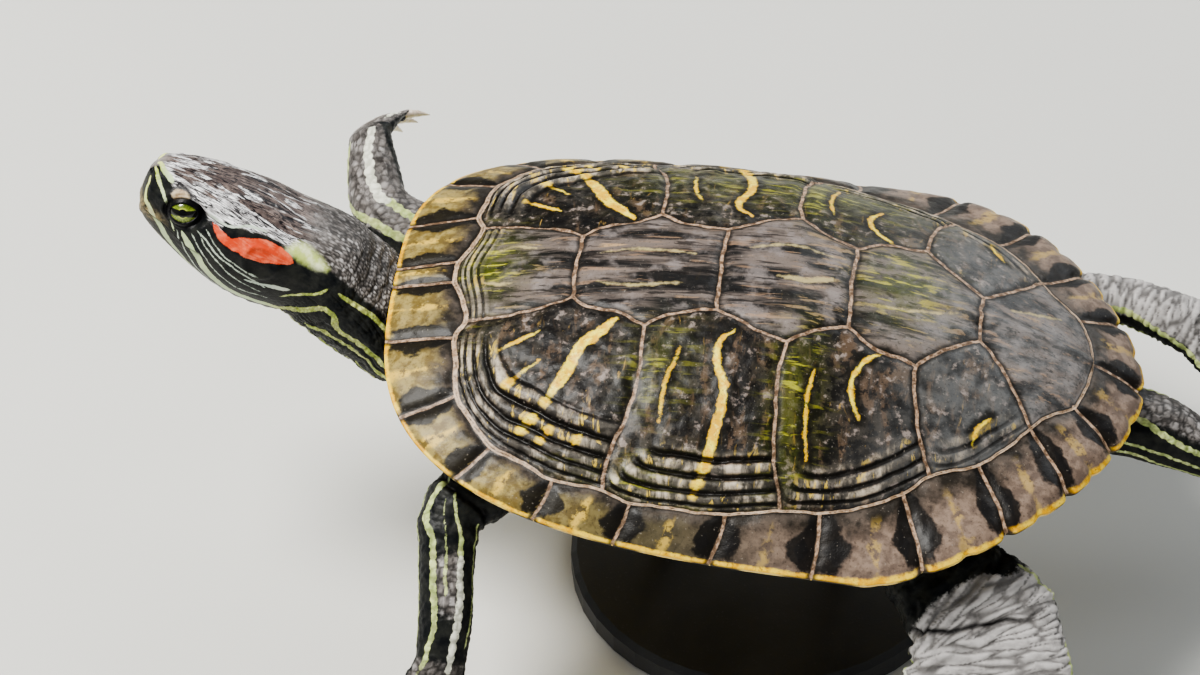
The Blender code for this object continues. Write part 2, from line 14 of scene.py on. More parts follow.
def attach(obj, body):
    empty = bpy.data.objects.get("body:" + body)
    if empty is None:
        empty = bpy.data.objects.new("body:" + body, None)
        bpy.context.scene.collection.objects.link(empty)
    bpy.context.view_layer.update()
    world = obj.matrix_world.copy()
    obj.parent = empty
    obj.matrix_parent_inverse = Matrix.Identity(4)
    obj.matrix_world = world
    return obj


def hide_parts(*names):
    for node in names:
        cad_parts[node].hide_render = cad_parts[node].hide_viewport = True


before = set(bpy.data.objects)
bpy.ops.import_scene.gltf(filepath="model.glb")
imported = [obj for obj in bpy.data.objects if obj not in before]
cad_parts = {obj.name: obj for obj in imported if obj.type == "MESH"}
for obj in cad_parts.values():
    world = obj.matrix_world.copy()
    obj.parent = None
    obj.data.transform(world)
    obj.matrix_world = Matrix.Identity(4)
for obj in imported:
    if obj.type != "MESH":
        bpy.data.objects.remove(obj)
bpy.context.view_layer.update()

# ------------------------------------------------------------------ shared sizes
MM = 0.001
RIDGE_FIRST, RIDGE_SPREAD = 1.9, 0.70   # growth ridges: first groove (mm) and how they widen inwards
FRONT_X, REAR_X = -100.0, 100.0
WIDEST_X, HALF_WIDTH, DOME_TOP = 31.5, 76.0, 27.0
RIM_FRONT, RIM_SIDE, RIM_REAR = 3.6, -9.5, -1.0
RIM_DIP_FRONT, RIM_DIP_REAR = 1.55, 7.0
OUTLINE_FRONT, OUTLINE_REAR = 3.3, 1.64
DOME_POWER = 2.08
DOME_SAG, SAG_FROM = 5.0, 5.0
SHELL_THICK, RIM_THICK = 4.6, 1.8
PLASTRON_FRONT, PLASTRON_REAR, PLASTRON_Z, PLASTRON_THICK = -88.0, 82.0, -38.0, 4.0
BRIDGE_FRONT, BRIDGE_REAR = -42.0, 36.0
PITCH, LIFT = 5.9, 84.0
HEAD_AT = np.array([-155.9, 5.0, 19.0])
HEAD_YAW, HEAD_PITCH, HEAD_ROLL, HEAD_SCALE = 3.0, 21.0, 11.0, 1.03
EYE_RADIUS, EYE_SIDE, EYE_UP, EYE_BACK = 4.7, 7.4, -0.5, 0.2
EYE_STATION = 12.5


def place(P):
    P = np.asarray(P, float)
    c, s = math.cos(math.radians(PITCH)), math.sin(math.radians(PITCH))
    x = P[..., 0] * c + P[..., 2] * s
    z = -P[..., 0] * s + P[..., 2] * c + LIFT
    return np.stack([x, P[..., 1], z], -1) * MM


def unit(v):
    v = np.asarray(v, float)
    return v / (np.linalg.norm(v, axis=-1, keepdims=True) + 1e-12)


def smooth(x, a, b):
    """0 below a, 1 above b, smooth between."""
    k = np.clip((np.asarray(x, float) - a) / (b - a), 0.0, 1.0)
    return k * k * (3 - 2 * k)


def bump(x, centre, width):
    return np.exp(-((x - centre) / width) ** 2)


# ------------------------------------------------------------- procedural values
def lattice(ix, iy, iz, seed):
    """Repeatable value 0..1 for each whole-number cell."""
    h = (ix.astype(np.int64) * 374761393 + iy.astype(np.int64) * 668265263
         + iz.astype(np.int64) * 2147483647 + seed * 1274126177) & 0xFFFFFFFF
    h = ((h ^ (h >> 13)) * 1274126177) & 0xFFFFFFFF
    h = ((h ^ (h >> 16)) * 2246822519) & 0xFFFFFFFF
    return ((h ^ (h >> 15)) & 0xFFFFFF) / float(0xFFFFFF)


def value_noise(P, size, seed=0):
    """Smooth noise, -1..1, features about size across."""
    q = np.asarray(P, float) / size
    i = np.floor(q).astype(np.int64)
    f = q - i
    f = f * f * f * (f * (f * 6 - 15) + 10)
    out = 0.0
    for dx in (0, 1):
        wx = f[:, 0] if dx else 1 - f[:, 0]
        for dy in (0, 1):
            wy = f[:, 1] if dy else 1 - f[:, 1]
            for dz in (0, 1):
                wz = f[:, 2] if dz else 1 - f[:, 2]
                out = out + wx * wy * wz * lattice(i[:, 0] + dx, i[:, 1] + dy, i[:, 2] + dz, seed)
    return out * 2 - 1


def fractal(P, size, octaves=3, seed=0):
    out, amp, total = 0.0, 1.0, 0.0
    for k in range(octaves):
        out = out + amp * value_noise(P, size / 2 ** k, seed + 17 * k)
        total += amp
        amp *= 0.5
    return out / total


def cells(P, size, seed=0, jitter=0.85):
    """Nearest and second nearest distance to scattered cell centres, in units of size."""
    q = np.asarray(P, float) / size
    i = np.floor(q).astype(np.int64)
    f1 = np.full(len(q), 9.0)
    f2 = np.full(len(q), 9.0)
    tone = np.zeros(len(q))
    for dx in (-1, 0, 1):
        for dy in (-1, 0, 1):
            for dz in (-1, 0, 1):
                cx, cy, cz = i[:, 0] + dx, i[:, 1] + dy, i[:, 2] + dz
                ox = cx + 0.5 + jitter * (lattice(cx, cy, cz, seed) - 0.5)
                oy = cy + 0.5 + jitter * (lattice(cx, cy, cz, seed + 1) - 0.5)
                oz = cz + 0.5 + jitter * (lattice(cx, cy, cz, seed + 2) - 0.5)
                d = np.sqrt((q[:, 0] - ox) ** 2 + (q[:, 1] - oy) ** 2 + (q[:, 2] - oz) ** 2)
                near = d < f1
                f2 = np.where(near, f1, np.minimum(f2, d))
                tone = np.where(near, lattice(cx, cy, cz, seed + 3), tone)
                f1 = np.where(near, d, f1)
    return f1, f2, tone


# ------------------------------------------------------------------ mesh helpers
def make_object(name, P, faces, mat, attrs=None, world=False, smooth_angle=None):
    """P in the shell frame (mm) unless world, faces a list of index arrays."""
    co = np.asarray(P, float) if world else place(P)
    me = bpy.data.meshes.new(name)
    listed = []
    for f in faces:
        listed.extend(np.asarray(f).tolist())
    me.from_pydata(co.tolist(), [], listed)
    me.update()
    for key, values in (attrs or {}).items():
        a = me.attributes.new(key, 'FLOAT', 'POINT')
        a.data.foreach_set("value", np.asarray(values, np.float32))
    me.materials.append(mat)
    me.shade_smooth()
    if smooth_angle is not None:
        me.set_sharp_from_angle(angle=math.radians(smooth_angle))
    ob = bpy.data.objects.new(name, me)
    bpy.context.scene.collection.objects.link(ob)
    return ob


def tube_faces(rings, around, closed_start=None, closed_end=None, flip=False):
    """Quads between rings of a tube, with fans to a middle vertex at the ends."""
    i = np.arange(rings - 1)[:, None] * around
    j = np.arange(around)[None, :]
    k = (j + 1) % around
    quads = np.stack([i + j, i + k, i + around + k, i + around + j], -1).reshape(-1, 4)
    out = [quads[:, ::-1] if flip else quads]
    jj = np.arange(around)
    kk = (jj + 1) % around
    if closed_start is not None:
        t = np.stack([kk, jj, np.full(around, closed_start)], -1)
        out.append(t[:, ::-1] if flip else t)
    if closed_end is not None:
        b = (rings - 1) * around
        t = np.stack([b + jj, b + kk, np.full(around, closed_end)], -1)
        out.append(t[:, ::-1] if flip else t)
    return out


def grid_normals(P, rings, around):
    """Outward-ish normals of a tube grid by finite differences."""
    G = P.reshape(rings, around, 3)
    du = np.gradient(G, axis=0)
    dv = np.roll(G, -1, axis=1) - np.roll(G, 1, axis=1)
    n = np.cross(du, dv)
    return unit(n).reshape(-1, 3)


def mesh_normals(P, faces):
    n = np.zeros_like(P)
    for f in faces:
        f = np.asarray(f)
        a, b, c = P[f[:, 0]], P[f[:, 1]], P[f[:, 2]]
        fn = np.cross(b - a, c - a)
        if f.shape[1] == 4:
            fn = np.cross(P[f[:, 2]] - P[f[:, 0]], P[f[:, 3]] - P[f[:, 1]])
        for k in range(f.shape[1]):
            np.add.at(n, f[:, k], fn)
    return unit(n)


def curve_through(points, step=0.25, wobble=0.0, seed=0):
    """Points a step apart on a smooth curve through the given points."""
    p = np.asarray(points, float)
    if len(p) == 2:
        n = max(2, int(np.linalg.norm(p[1] - p[0]) / step))
        out = p[0] + (p[1] - p[0]) * np.linspace(0, 1, n)[:, None]
    else:
        ext = np.vstack([2 * p[0] - p[1], p, 2 * p[-1] - p[-2]])
        out = []
        for i in range(len(p) - 1):
            a, b, c, d = ext[i:i + 4]
            n = max(2, int(np.linalg.norm(c - b) / step))
            t = np.linspace(0, 1, n, endpoint=False)[:, None]
            out.append(0.5 * ((2 * b) + (c - a) * t + (2 * a - 5 * b + 4 * c - d) * t ** 2
                              + (3 * b - a - 3 * c + d) * t ** 3))
        out.append(p[-1:])
        out = np.vstack(out)
    if wobble:
        s = np.arange(len(out)) * step
        tan = np.gradient(out, axis=0)
        nrm = np.stack([-tan[:, 1], tan[:, 0]], -1)
        nrm = nrm / (np.linalg.norm(nrm, axis=1, keepdims=True) + 1e-9)
        off = wobble * (np.sin(s / 2.9 + seed * 1.7) + 0.6 * np.sin(s / 1.25 + seed * 2.9)
                        + 0.4 * np.sin(s / 0.7 + seed))
        ends = np.minimum(1.0, np.minimum(s, s[::-1]) / 2.0)
        out[:, :2] = out[:, :2] + nrm * (off * ends)[:, None]
    return out


def tree_of(points):
    kd = kdtree.KDTree(len(points))
    for i, p in enumerate(points.tolist()):
        kd.insert(p, i)
    kd.balance()
    return kd


def nearest(kd, P, want_index=False):
    find = kd.find
    d = np.empty(len(P))
    idx = np.empty(len(P), np.int64)
    for i, p in enumerate(P.tolist()):
        _, k, dist = find(p)
        d[i] = dist
        idx[i] = k
    return (d, idx) if want_index else d


# ------------------------------------------------------------------ node helpers
class Graph:
    """Short names for building a material out of nodes."""

    def __init__(self, name):
        self.mat = bpy.data.materials.new(name)
        self.mat.use_nodes = True
        self.tree = self.mat.node_tree
        self.bsdf = self.tree.nodes["Principled BSDF"]
        self.coord = None

    def node(self, kind, **props):
        n = self.tree.nodes.new(kind)
        for k, v in props.items():
            setattr(n, k, v)
        return n

    def put(self, socket, value):
        if isinstance(value, bpy.types.NodeSocket):
            self.tree.links.new(value, socket)
        elif isinstance(value, (tuple, list)) and len(value) == 3 and socket.type == 'RGBA':
            socket.default_value = (*value, 1.0)
        else:
            socket.default_value = value

    def math(self, op, a, b=0.0, c=0.0, clamp=False):
        n = self.node("ShaderNodeMath", operation=op, use_clamp=clamp)
        self.put(n.inputs[0], a)
        self.put(n.inputs[1], b)
        if op in ('MULTIPLY_ADD', 'SMOOTH_MIN', 'SMOOTH_MAX'):
            self.put(n.inputs[2], c)
        return n.outputs[0]

    def attr(self, name):
        return self.node("ShaderNodeAttribute", attribute_name=name).outputs["Fac"]

    def ramp(self, x, a, b, lo=0.0, hi=1.0):
        """Smooth step of x from a to b."""
        n = self.node("ShaderNodeMapRange", interpolation_type='SMOOTHSTEP', clamp=True)
        self.put(n.inputs["Value"], x)
        n.inputs["From Min"].default_value = a
        n.inputs["From Max"].default_value = b
        n.inputs["To Min"].default_value = lo
        n.inputs["To Max"].default_value = hi
        return n.outputs[0]

    def mix(self, fac, a, b, blend='MIX'):
        n = self.node("ShaderNodeMix", data_type='RGBA', blend_type=blend)
        self.put(n.inputs["Factor"], fac)
        self.put(n.inputs[6], a)
        self.put(n.inputs[7], b)
        return n.outputs[2]

    def position(self, stretch=(1, 1, 1)):
        if self.coord is None:
            self.coord = self.node("ShaderNodeTexCoord").outputs["Object"]
        m = self.node("ShaderNodeMapping")
        self.put(m.inputs["Vector"], self.coord)
        m.inputs["Scale"].default_value = stretch
        return m.outputs[0]

    def noise(self, size_mm, detail=3.0, rough=0.55, stretch=(1, 1, 1), distort=0.0):
        n = self.node("ShaderNodeTexNoise")
        self.put(n.inputs["Vector"], self.position(stretch))
        n.inputs["Scale"].default_value = 1000.0 / size_mm
        n.inputs["Detail"].default_value = detail
        n.inputs["Roughness"].default_value = rough
        n.inputs["Distortion"].default_value = distort
        return n.outputs["Fac"]

    def voronoi(self, size_mm, feature='F1', stretch=(1, 1, 1), randomness=1.0):
        n = self.node("ShaderNodeTexVoronoi", feature=feature)
        self.put(n.inputs["Vector"], self.position(stretch))
        n.inputs["Scale"].default_value = 1000.0 / size_mm
        n.inputs["Randomness"].default_value = randomness
        return n.outputs["Distance"]

    def bump(self, height, strength=0.5, distance=0.001, normal=None):
        n = self.node("ShaderNodeBump")
        n.inputs["Strength"].default_value = strength
        n.inputs["Distance"].default_value = distance
        self.put(n.inputs["Height"], height)
        if normal is not None:
            self.put(n.inputs["Normal"], normal)
        return n.outputs[0]

    def finish(self, colour, rough=0.4, normal=None, **sockets):
        self.put(self.bsdf.inputs["Base Color"], colour)
        self.put(self.bsdf.inputs["Roughness"], rough)
        if normal is not None:
            self.put(self.bsdf.inputs["Normal"], normal)
        for k, v in sockets.items():
            self.bsdf.inputs[k.replace("_", " ")].default_value = v
        return self.mat


# ------------------------------------------------------------------- shell shape
def rim_height(front, yr):
    end = np.where(front, RIM_FRONT, RIM_REAR)
    power = np.where(front, RIM_DIP_FRONT, RIM_DIP_REAR)
    return end + (RIM_SIDE - end) * np.abs(yr) ** power


def sag(x, rho):
    u = (x - SAG_FROM) / (REAR_X - SAG_FROM)
    w = np.clip((1 - rho) / 0.25, 0, 1)
    return np.where((u > 0) & (u < 1), DOME_SAG * np.sin(math.pi * np.clip(u, 0, 1)) * w * w * (3 - 2 * w), 0.0)


def dome(t, rho):
    """Points of the carapace's upper surface for direction t and radius share rho."""
    c, s = np.cos(t), np.sin(t)
    front = c < 0
    n = np.where(front, OUTLINE_FRONT, OUTLINE_REAR)
    reach = (np.abs(c) ** n + np.abs(s) ** n) ** (-1.0 / n)
    a = np.where(front, WIDEST_X - FRONT_X, REAR_X - WIDEST_X)
    x = WIDEST_X + a * c * reach * rho
    y = HALF_WIDTH * s * reach * rho
    f = 1 - rho ** DOME_POWER
    z = DOME_TOP * f + rim_height(front, s * reach) * (1 - f) - sag(x, rho)
    return np.stack([x, y, z], -1)


def polar(x, y):
    """Direction t and radius share rho of a point of the plan."""
    front = x < WIDEST_X
    a = np.where(front, WIDEST_X - FRONT_X, REAR_X - WIDEST_X)
    n = np.where(front, OUTLINE_FRONT, OUTLINE_REAR)
    u, v = (x - WIDEST_X) / a, y / HALF_WIDTH
    rho = (np.abs(u) ** n + np.abs(v) ** n) ** (1.0 / n)
    return np.arctan2(v, u), rho


def on_dome(points):
    """Lift plan points on to the dome; those past the rim are drawn back to it."""
    p = np.asarray(points, float)
    t, rho = polar(p[:, 0], p[:, 1])
    return dome(t, np.minimum(rho, 1.0))


# Where scutes meet: x, distance from the midline
J_V1, J_V12, J_V2, J_V23 = (-79, 18.2), (-52, 11.8), (-32.2, 21.8), (-14.2, 15.7)
J_V3, J_V34, J_V4, J_V45, J_V5 = (5, 24), (20.4, 15.3), (39, 22.3), (55, 8.3), (70.8, 28)
VERTEBRAL_SIDE = (
    (J_V1, (-67, 17.3), (-59, 15.2), J_V12),
    (J_V12, (-47.5, 15.6), (-39, 17.6), J_V2),
    (J_V2, (-28, 18.6), (-21, 16.6), J_V23),
    (J_V23, (-9.2, 18.2), (-3.6, 21.2), J_V3),
    (J_V3, (8.7, 20.6), (14.5, 17.4), J_V34),
    (J_V34, (27.5, 20), (34.4, 20.8), J_V4),
    (J_V4, (42.3, 18.3), (50, 12), J_V45),
    (J_V45, (60.9, 13.8), (66, 20.5), J_V5),
)
COSTAL = (
    (J_V2, (-32, 31), (-32.1, 40), (-33.5, 47.5), (-36.3, 55), (-36.8, 63.4)),
    (J_V3, (4.1, 30), (4.2, 39.6), (5.6, 52), (9.1, 63.4)),
    (J_V4, (39.3, 29), (41.8, 39.1), (46, 48.8)),
)
RING = ((-84, 0), (-83.6, 4), (-80.9, 10.8), J_V1, (-81, 23.4), (-79.6, 32), (-77.9, 40.8),
        (-73.6, 47.4), (-66.8, 54.4), (-58, 58.4), (-49.9, 61.8), (-36.8, 63.6), (-29.4, 65.6),
        (-18.3, 66), (-4.4, 66), (9.3, 63.6), (19.3, 62.2), (31, 58.6), (39.8, 54), (46, 49),
        (52.5, 45.6), (58.4, 42.5), (65, 36), J_V5, (76, 21.8), (81.7, 16.6), (84.9, 8), (85.9, 0))
# marginal seams: inner end on the ring, outer end at the rim
MARGINAL = (((-84, 4), (-99.9, 3.5)), ((-81.2, 23.5), (-99.6, 22.5)), ((-78, 41), (-91.8, 45.9)),
            ((-67, 54.6), (-74.8, 61.4)), ((-49.9, 62), (-53.5, 69.9)), ((-29.3, 65.7), (-32.4, 74)),
            ((-4.6, 66.1), (-7.2, 75.8)), ((19.4, 62.2), (19.3, 76)), ((39.8, 54), (47.5, 71.6)),
            ((58.4, 42.5), (68, 57.9)), ((70.8, 28), (83, 42)), ((81.7, 16.6), (93.4, 24.3)),
            ((85.9, 0), (100, 0)))
# yellow bars: width and points
BARS = (
    (3.1, ((-39.6, 19.8), (-43.5, 24.2), (-48, 29), (-51, 37), (-54.8, 44.4))),
    (2.3, ((-56.3, 46.6), (-58.6, 49.2), (-60.5, 51.5))),
    ((1.6, 2.8), ((-8.6, 22.2), (-12.3, 26.6), (-11.8, 32.7), (-9.6, 38.4), (-9.6, 45), (-10.8, 52),
                  (-11.9, 57.7), (-13.5, 63))),
    (1.3, ((30.5, 20.5), (25.5, 24.5), (23.2, 30), (23.4, 35), (26, 40))),
    (1.0, ((-52, 50.5), (-55, 54))),
    (1.0, ((-59, 23.4), (-63.5, 26), (-68.7, 29))),
    (0.9, ((-57.7, 32.3), (-61.5, 35.5), (-66, 39.7))),
    (0.9, ((-44, 51), (-46, 54.5))),
    (0.9, ((60, 30), (57, 34), (56, 38.5))),
    (0.8, ((-22, 28), (-24.5, 38), (-25, 48))),
    (0.8, ((13, 30), (12, 40), (14, 52))),
)
V_STROKES = ((1.0, ((-75.5, -6), (-72, -6.8), (-68.5, -6.4))), (0.9, ((-74, 6), (-69, 8), (-64, 7))),
             (1.7, ((0.5, -2.4), (7, -3), (15, -1))), (0.8, ((-46, -7), (-38, -8.5), (-24, -7))),
             (0.8, ((-47, 4), (-36, 5.5), (-22, 4))), (0.7, ((-8, 8), (2, 10), (14, 8.5))),
             (0.7, ((28, -6), (38, -5), (48, -2))), (0.7, ((62, 6), (70, 9), (76, 12))))


def both_sides(points):
    p = np.asarray(points, float)
    return [p, p * np.array([1.0, -1.0])]


def shell_lines():
    seams, ring = [], []
    for k, pts in enumerate(VERTEBRAL_SIDE + COSTAL):
        for side, p in enumerate(both_sides(pts)):
            seams.append(curve_through(p, 0.25, 0.16, k * 2 + side))
    for k, j in enumerate((J_V12, J_V23, J_V34, J_V45)):
        seams.append(curve_through([(j[0], -j[1]), (j[0] - 0.5, 0), (j[0], j[1])], 0.25, 0.16, 40 + k))
    for side, p in enumerate(both_sides(RING)):
        ring.append(curve_through(p, 0.25, 0.10, 60 + side))
    margins = []
    for k, (a, b) in enumerate(MARGINAL):
        mid = ((a[0] + b[0]) / 2 + 0.5, (a[1] + b[1]) / 2)
        for side, p in enumerate(both_sides((a, mid, b))):
            if k == len(MARGINAL) - 1 and side:
                continue
            margins.append(curve_through(p, 0.25, 0.08, 80 + 2 * k + side))
    return seams, ring, margins


def bar_distance(P, bars, mirrored):
    """Signed distance to the edge of the nearest bar, negative inside."""
    out = np.full(len(P), 30.0)
    k = 0
    for width, pts in bars:
        for side, p in enumerate(both_sides(pts) if mirrored else [np.asarray(pts, float)]):
            line = on_dome(curve_through(p, 0.3, 0.12, k))
            k += 1
            near = np.where((np.abs(P[:, 0] - line[:, 0].mean()) < 40)
                            & (np.abs(P[:, 1] - line[:, 1].mean()) < 40))[0]
            if not len(near):
                continue
            d, i = nearest(tree_of(line), P[near], True)
            s = i / (len(line) - 1.0)
            taper = np.minimum(1.0, 0.35 + 3.2 * np.minimum(s, 1 - s))
            first, last = width if isinstance(width, tuple) else (width, width)
            out[near] = np.minimum(out[near], d - 0.5 * (first + (last - first) * s) * taper)
    return out


def ridge_phase(g):
    """Whole numbers fall in the grooves between growth ridges."""
    return (np.maximum(g, 0.0) / RIDGE_FIRST) ** RIDGE_SPREAD


# olive-green places of the shell: x, y, reach along, reach across, strength
GREEN = ((-76, 1, 9, 13, 1.0), (33, 4, 11, 13, 0.75), (9, -40, 6, 18, 0.95), (-27, -33, 8, 11, 0.55),
         (-30, -61, 17, 5, 0.75), (-18, 42, 26, 13, 0.55), (18, 46, 24, 12, 0.55), (-78, -30, 8, 8, 0.3),
         (9, 40, 6, 18, 0.4))


def shell_material():
    g = Graph("scute_horn")
    seam, ring, edge = g.attr("seam"), g.attr("ring"), g.attr("margin_seam")
    bar, stroke, grow, grow_w = g.attr("bar"), g.attr("stroke"), g.attr("grow"), g.attr("grow_weight")
    radial, cell, vert, tone = g.attr("radial"), g.attr("cell"), g.attr("vertebral"), g.attr("tone")
    under, green = g.attr("under"), g.attr("green")
    mul, ramp, mix = (lambda a, b: g.math('MULTIPLY', a, b)), g.ramp, g.mix
    shake = lambda n, amount: mul(g.math('SUBTRACT', n, 0.5), amount)
    n_big = g.noise(26, 3, 0.5)
    n_mid = g.noise(7, 4, 0.6)
    n_small = g.noise(3.2, 4, 0.62)
    n_fine = g.noise(1.6, 4, 0.6)
    n_speck = g.noise(0.75, 2, 0.5)
    streak = g.noise(6.5, 4, 0.62, (0.18, 1.30, 1.0), 0.4)
    hair = g.noise(2.2, 4, 0.62, (0.12, 1.20, 1.0), 0.3)
    cross = g.noise(5.0, 4, 0.62, (1.1, 0.34, 0.34), 0.6)
    fleck = g.noise(3.2, 4, 0.62, (1.25, 0.30, 0.30), 0.8)
    # costal ground: near black, mottled with umber and a dry mauve grey
    ground = mix(ramp(n_mid, 0.40, 0.62), (0.0070, 0.0066, 0.0065), (0.030, 0.024, 0.018))
    ground = mix(mul(ramp(n_big, 0.48, 0.66), 0.60), ground, (0.052, 0.046, 0.042))
    c_ground = mix(mul(ramp(cross, 0.50, 0.64), 0.75), ground, (0.115, 0.074, 0.046))
    c_ground = mix(mul(ramp(n_small, 0.56, 0.68), 0.70), c_ground, (0.330, 0.270, 0.240))
    c_ground = mix(mul(ramp(n_small, 0.49, 0.42), 0.90), c_ground, (0.005, 0.004, 0.004))
    c_ground = mix(mul(ramp(fleck, 0.64, 0.72), 0.55), c_ground, (0.500, 0.320, 0.085))
    # vertebral scutes carry long pinkish-tan streaks and black flecks; their pale mauve grey is partly horn colour,
    # partly a painted reflection of sky on the wet shell
    v_ground = mix(ramp(streak, 0.40, 0.60), (0.0110, 0.0105, 0.0105), (0.160, 0.130, 0.114))
    v_ground = mix(mul(ramp(n_mid, 0.50, 0.68), 0.55), v_ground, (0.270, 0.235, 0.225))
    v_ground = mix(mul(ramp(hair, 0.56, 0.64), 0.60), v_ground, (0.330, 0.215, 0.140))
    v_ground = mix(mul(ramp(hair, 0.44, 0.37), 0.80), v_ground, (0.007, 0.006, 0.006))
    v_ground = mix(mul(ramp(streak, 0.66, 0.72), 0.70), v_ground, (0.480, 0.320, 0.170))
    col = mix(mul(vert, 0.95), c_ground, v_ground)
    # a bluish grey towards the rear: partly dry bloom, partly a painted reflection of hazy sky on the wet shell
    col = mix(mul(tone, ramp(n_mid, 0.36, 0.60, 0.20, 0.60)), col, (0.185, 0.190, 0.192))
    moss = mul(green, ramp(n_small, 0.36, 0.56, 0.25, 1.0))
    col = mix(mul(moss, 0.80), col, (0.066, 0.078, 0.006))
    col = mix(mul(mul(green, 0.85), ramp(hair, 0.535, 0.62)), col, (0.440, 0.430, 0.050))
    # growth ridges: crests painted pale as a highlight over horn grey, grooves painted black as shade, yellow where a
    # bar crosses
    phase = g.math('POWER', g.math('MAXIMUM', mul(g.math('ADD', grow, shake(n_mid, 0.5)), 1.0 / RIDGE_FIRST), 0.0), RIDGE_SPREAD)
    wave = g.math('ABSOLUTE', g.math('SINE', mul(phase, math.pi)))
    crest = mul(ramp(wave, 0.50, 0.92), g.math('MINIMUM', mul(grow_w, 1.3), 1.0))
    crest_horn_and_highlight = mix(ramp(cross, 0.44, 0.62), (0.095, 0.085, 0.072), (0.580, 0.500, 0.390))
    col = mix(mul(crest, ramp(n_small, 0.36, 0.58, 0.30, 0.85)), col, crest_horn_and_highlight)
    near_bar = ramp(g.math('ADD', bar, shake(n_small, 2.6)), 1.3, 0.2)
    col = mix(mul(mul(crest, near_bar), 0.92), col, (0.820, 0.580, 0.065))
    col = mix(mul(mul(crest, ramp(fleck, 0.58, 0.63)), 0.80), col, (0.700, 0.500, 0.090))
    # painted shade: the grooves between growth ridges go near black
    groove = mul(ramp(wave, 0.68, 0.36), g.math('MINIMUM', mul(grow_w, 1.6), 1.0))
    # black borders, then the yellow bars themselves
    wob = g.math('ADD', shake(n_fine, 1.1), shake(n_small, 1.5))
    bar_w = g.math('ADD', bar, wob)
    col = mix(mul(ramp(bar_w, 3.0, 0.7), mul(g.math('SUBTRACT', 1.0, crest), 0.88)), col, (0.008, 0.007, 0.005))
    bar_col = mix(ramp(n_small, 0.40, 0.62), (0.700, 0.410, 0.030), (0.900, 0.730, 0.085))
    bar_col = mix(mul(ramp(n_fine, 0.52, 0.68), 0.55), bar_col, (0.940, 0.830, 0.240))
    col = mix(ramp(bar_w, 0.35, -0.30), col, bar_col)
    col = mix(mul(groove, 0.95), col, (0.005, 0.004, 0.003))
    stroke_w = g.math('ADD', stroke, wob)
    col = mix(mul(ramp(stroke_w, 0.5, -0.5), 0.70), col, (0.520, 0.430, 0.210))
    # marginal scutes: tan middle, black blotches by the seams, yellow edge
    m_dark = mix(ramp(n_mid, 0.40, 0.62), (0.022, 0.018, 0.014), (0.080, 0.064, 0.052))
    m_tan = mix(tone, mix(ramp(n_small, 0.38, 0.62), (0.150, 0.105, 0.030), (0.300, 0.235, 0.085)),
                mix(ramp(n_small, 0.38, 0.62), (0.130, 0.094, 0.074), (0.235, 0.172, 0.132)))
    # the marginals over the front of the bridge are darker
    m_tan = mix(mul(green, 0.78), m_tan, (0.040, 0.038, 0.026))
    out_w = g.math('ADD', radial, g.math('ADD', shake(n_mid, 0.65), shake(n_small, 0.22)))
    m_col = mix(ramp(out_w, 0.10, 0.52), m_dark, m_tan)
    cell_a = g.math('ABSOLUTE', cell)
    cell_w = g.math('ADD', cell_a, g.math('ADD', shake(n_mid, 0.75), shake(n_fine, 0.16)))
    inward = g.math('MULTIPLY_ADD', g.math('ABSOLUTE', g.math('SUBTRACT', radial, 0.58)), -0.62, 0.18)
    blotch = mul(ramp(g.math('ADD', cell_w, inward), 0.58, 0.70), ramp(g.math('ADD', radial, shake(n_small, 0.3)), 1.02, 0.88))
    m_col = mix(mul(blotch, 0.96), m_col, (0.0075, 0.0068, 0.0064))
    oval = mul(ramp(g.math('ADD', g.math('ABSOLUTE', g.math('SUBTRACT', cell_a, 0.72)), mul(g.math('ABSOLUTE', g.math('SUBTRACT', radial, 0.62)), 0.8)), 0.20, 0.13), tone)
    m_col = mix(mul(oval, 0.95), m_col, (0.009, 0.008, 0.008))
    mid_bar = mul(ramp(cell_w, 0.15, 0.03), mul(ramp(n_small, 0.40, 0.52), ramp(radial, 0.10, 0.35)))
    m_col = mix(mul(mid_bar, g.math('MULTIPLY_ADD', tone, -0.55, 0.9)), m_col, (0.640, 0.440, 0.090))
    rim = ramp(g.math('ADD', radial, g.math('ADD', shake(n_mid, 0.10), shake(n_fine, 0.05))), 0.925, 0.965)
    rim = mul(rim, ramp(cell_w, 1.04, 0.86))
    m_col = mix(mul(rim, 0.96), m_col, mix(ramp(n_small, 0.36, 0.62), (0.700, 0.360, 0.012), (0.900, 0.640, 0.075)))
    col = mix(ramp(radial, -0.01, 0.01), col, m_col)
    # fine speckle
    col = mix(mul(ramp(n_speck, 0.66, 0.76), 0.34), col, (0.36, 0.32, 0.27))
    col = mix(mul(ramp(n_speck, 0.42, 0.28), 0.40), col, (0.008, 0.007, 0.005))
    # seams: dark groove with a raised pinkish-tan line, in two strands round the ring
    any_seam = g.math('MINIMUM', seam, edge)
    seam_w = g.math('ADD', any_seam, g.math('ADD', shake(n_speck, 0.34), shake(n_small, 0.60)))
    col = mix(mul(ramp(g.math('MINIMUM', seam_w, ring), 1.9, 0.7), 0.80), col, (0.010, 0.008, 0.006))
    line = mix(ramp(n_fine, 0.38, 0.64), (0.120, 0.074, 0.045), (0.450, 0.315, 0.220))
    col = mix(ramp(seam_w, 0.60, 0.34), col, line)
    col = mix(mul(ramp(seam_w, 0.12, -0.04), 0.60), col, (0.050, 0.033, 0.021))
    ring_w = g.math('ADD', ring, g.math('ADD', shake(n_speck, 0.35), shake(n_small, 0.35)))
    col = mix(ramp(ring_w, 0.80, 0.48), col, mix(ramp(n_fine, 0.3, 0.7), (0.250, 0.165, 0.100), (0.560, 0.425, 0.310)))
    col = mix(mul(ramp(ring_w, 0.30, 0.08), 0.80), col, (0.040, 0.028, 0.018))
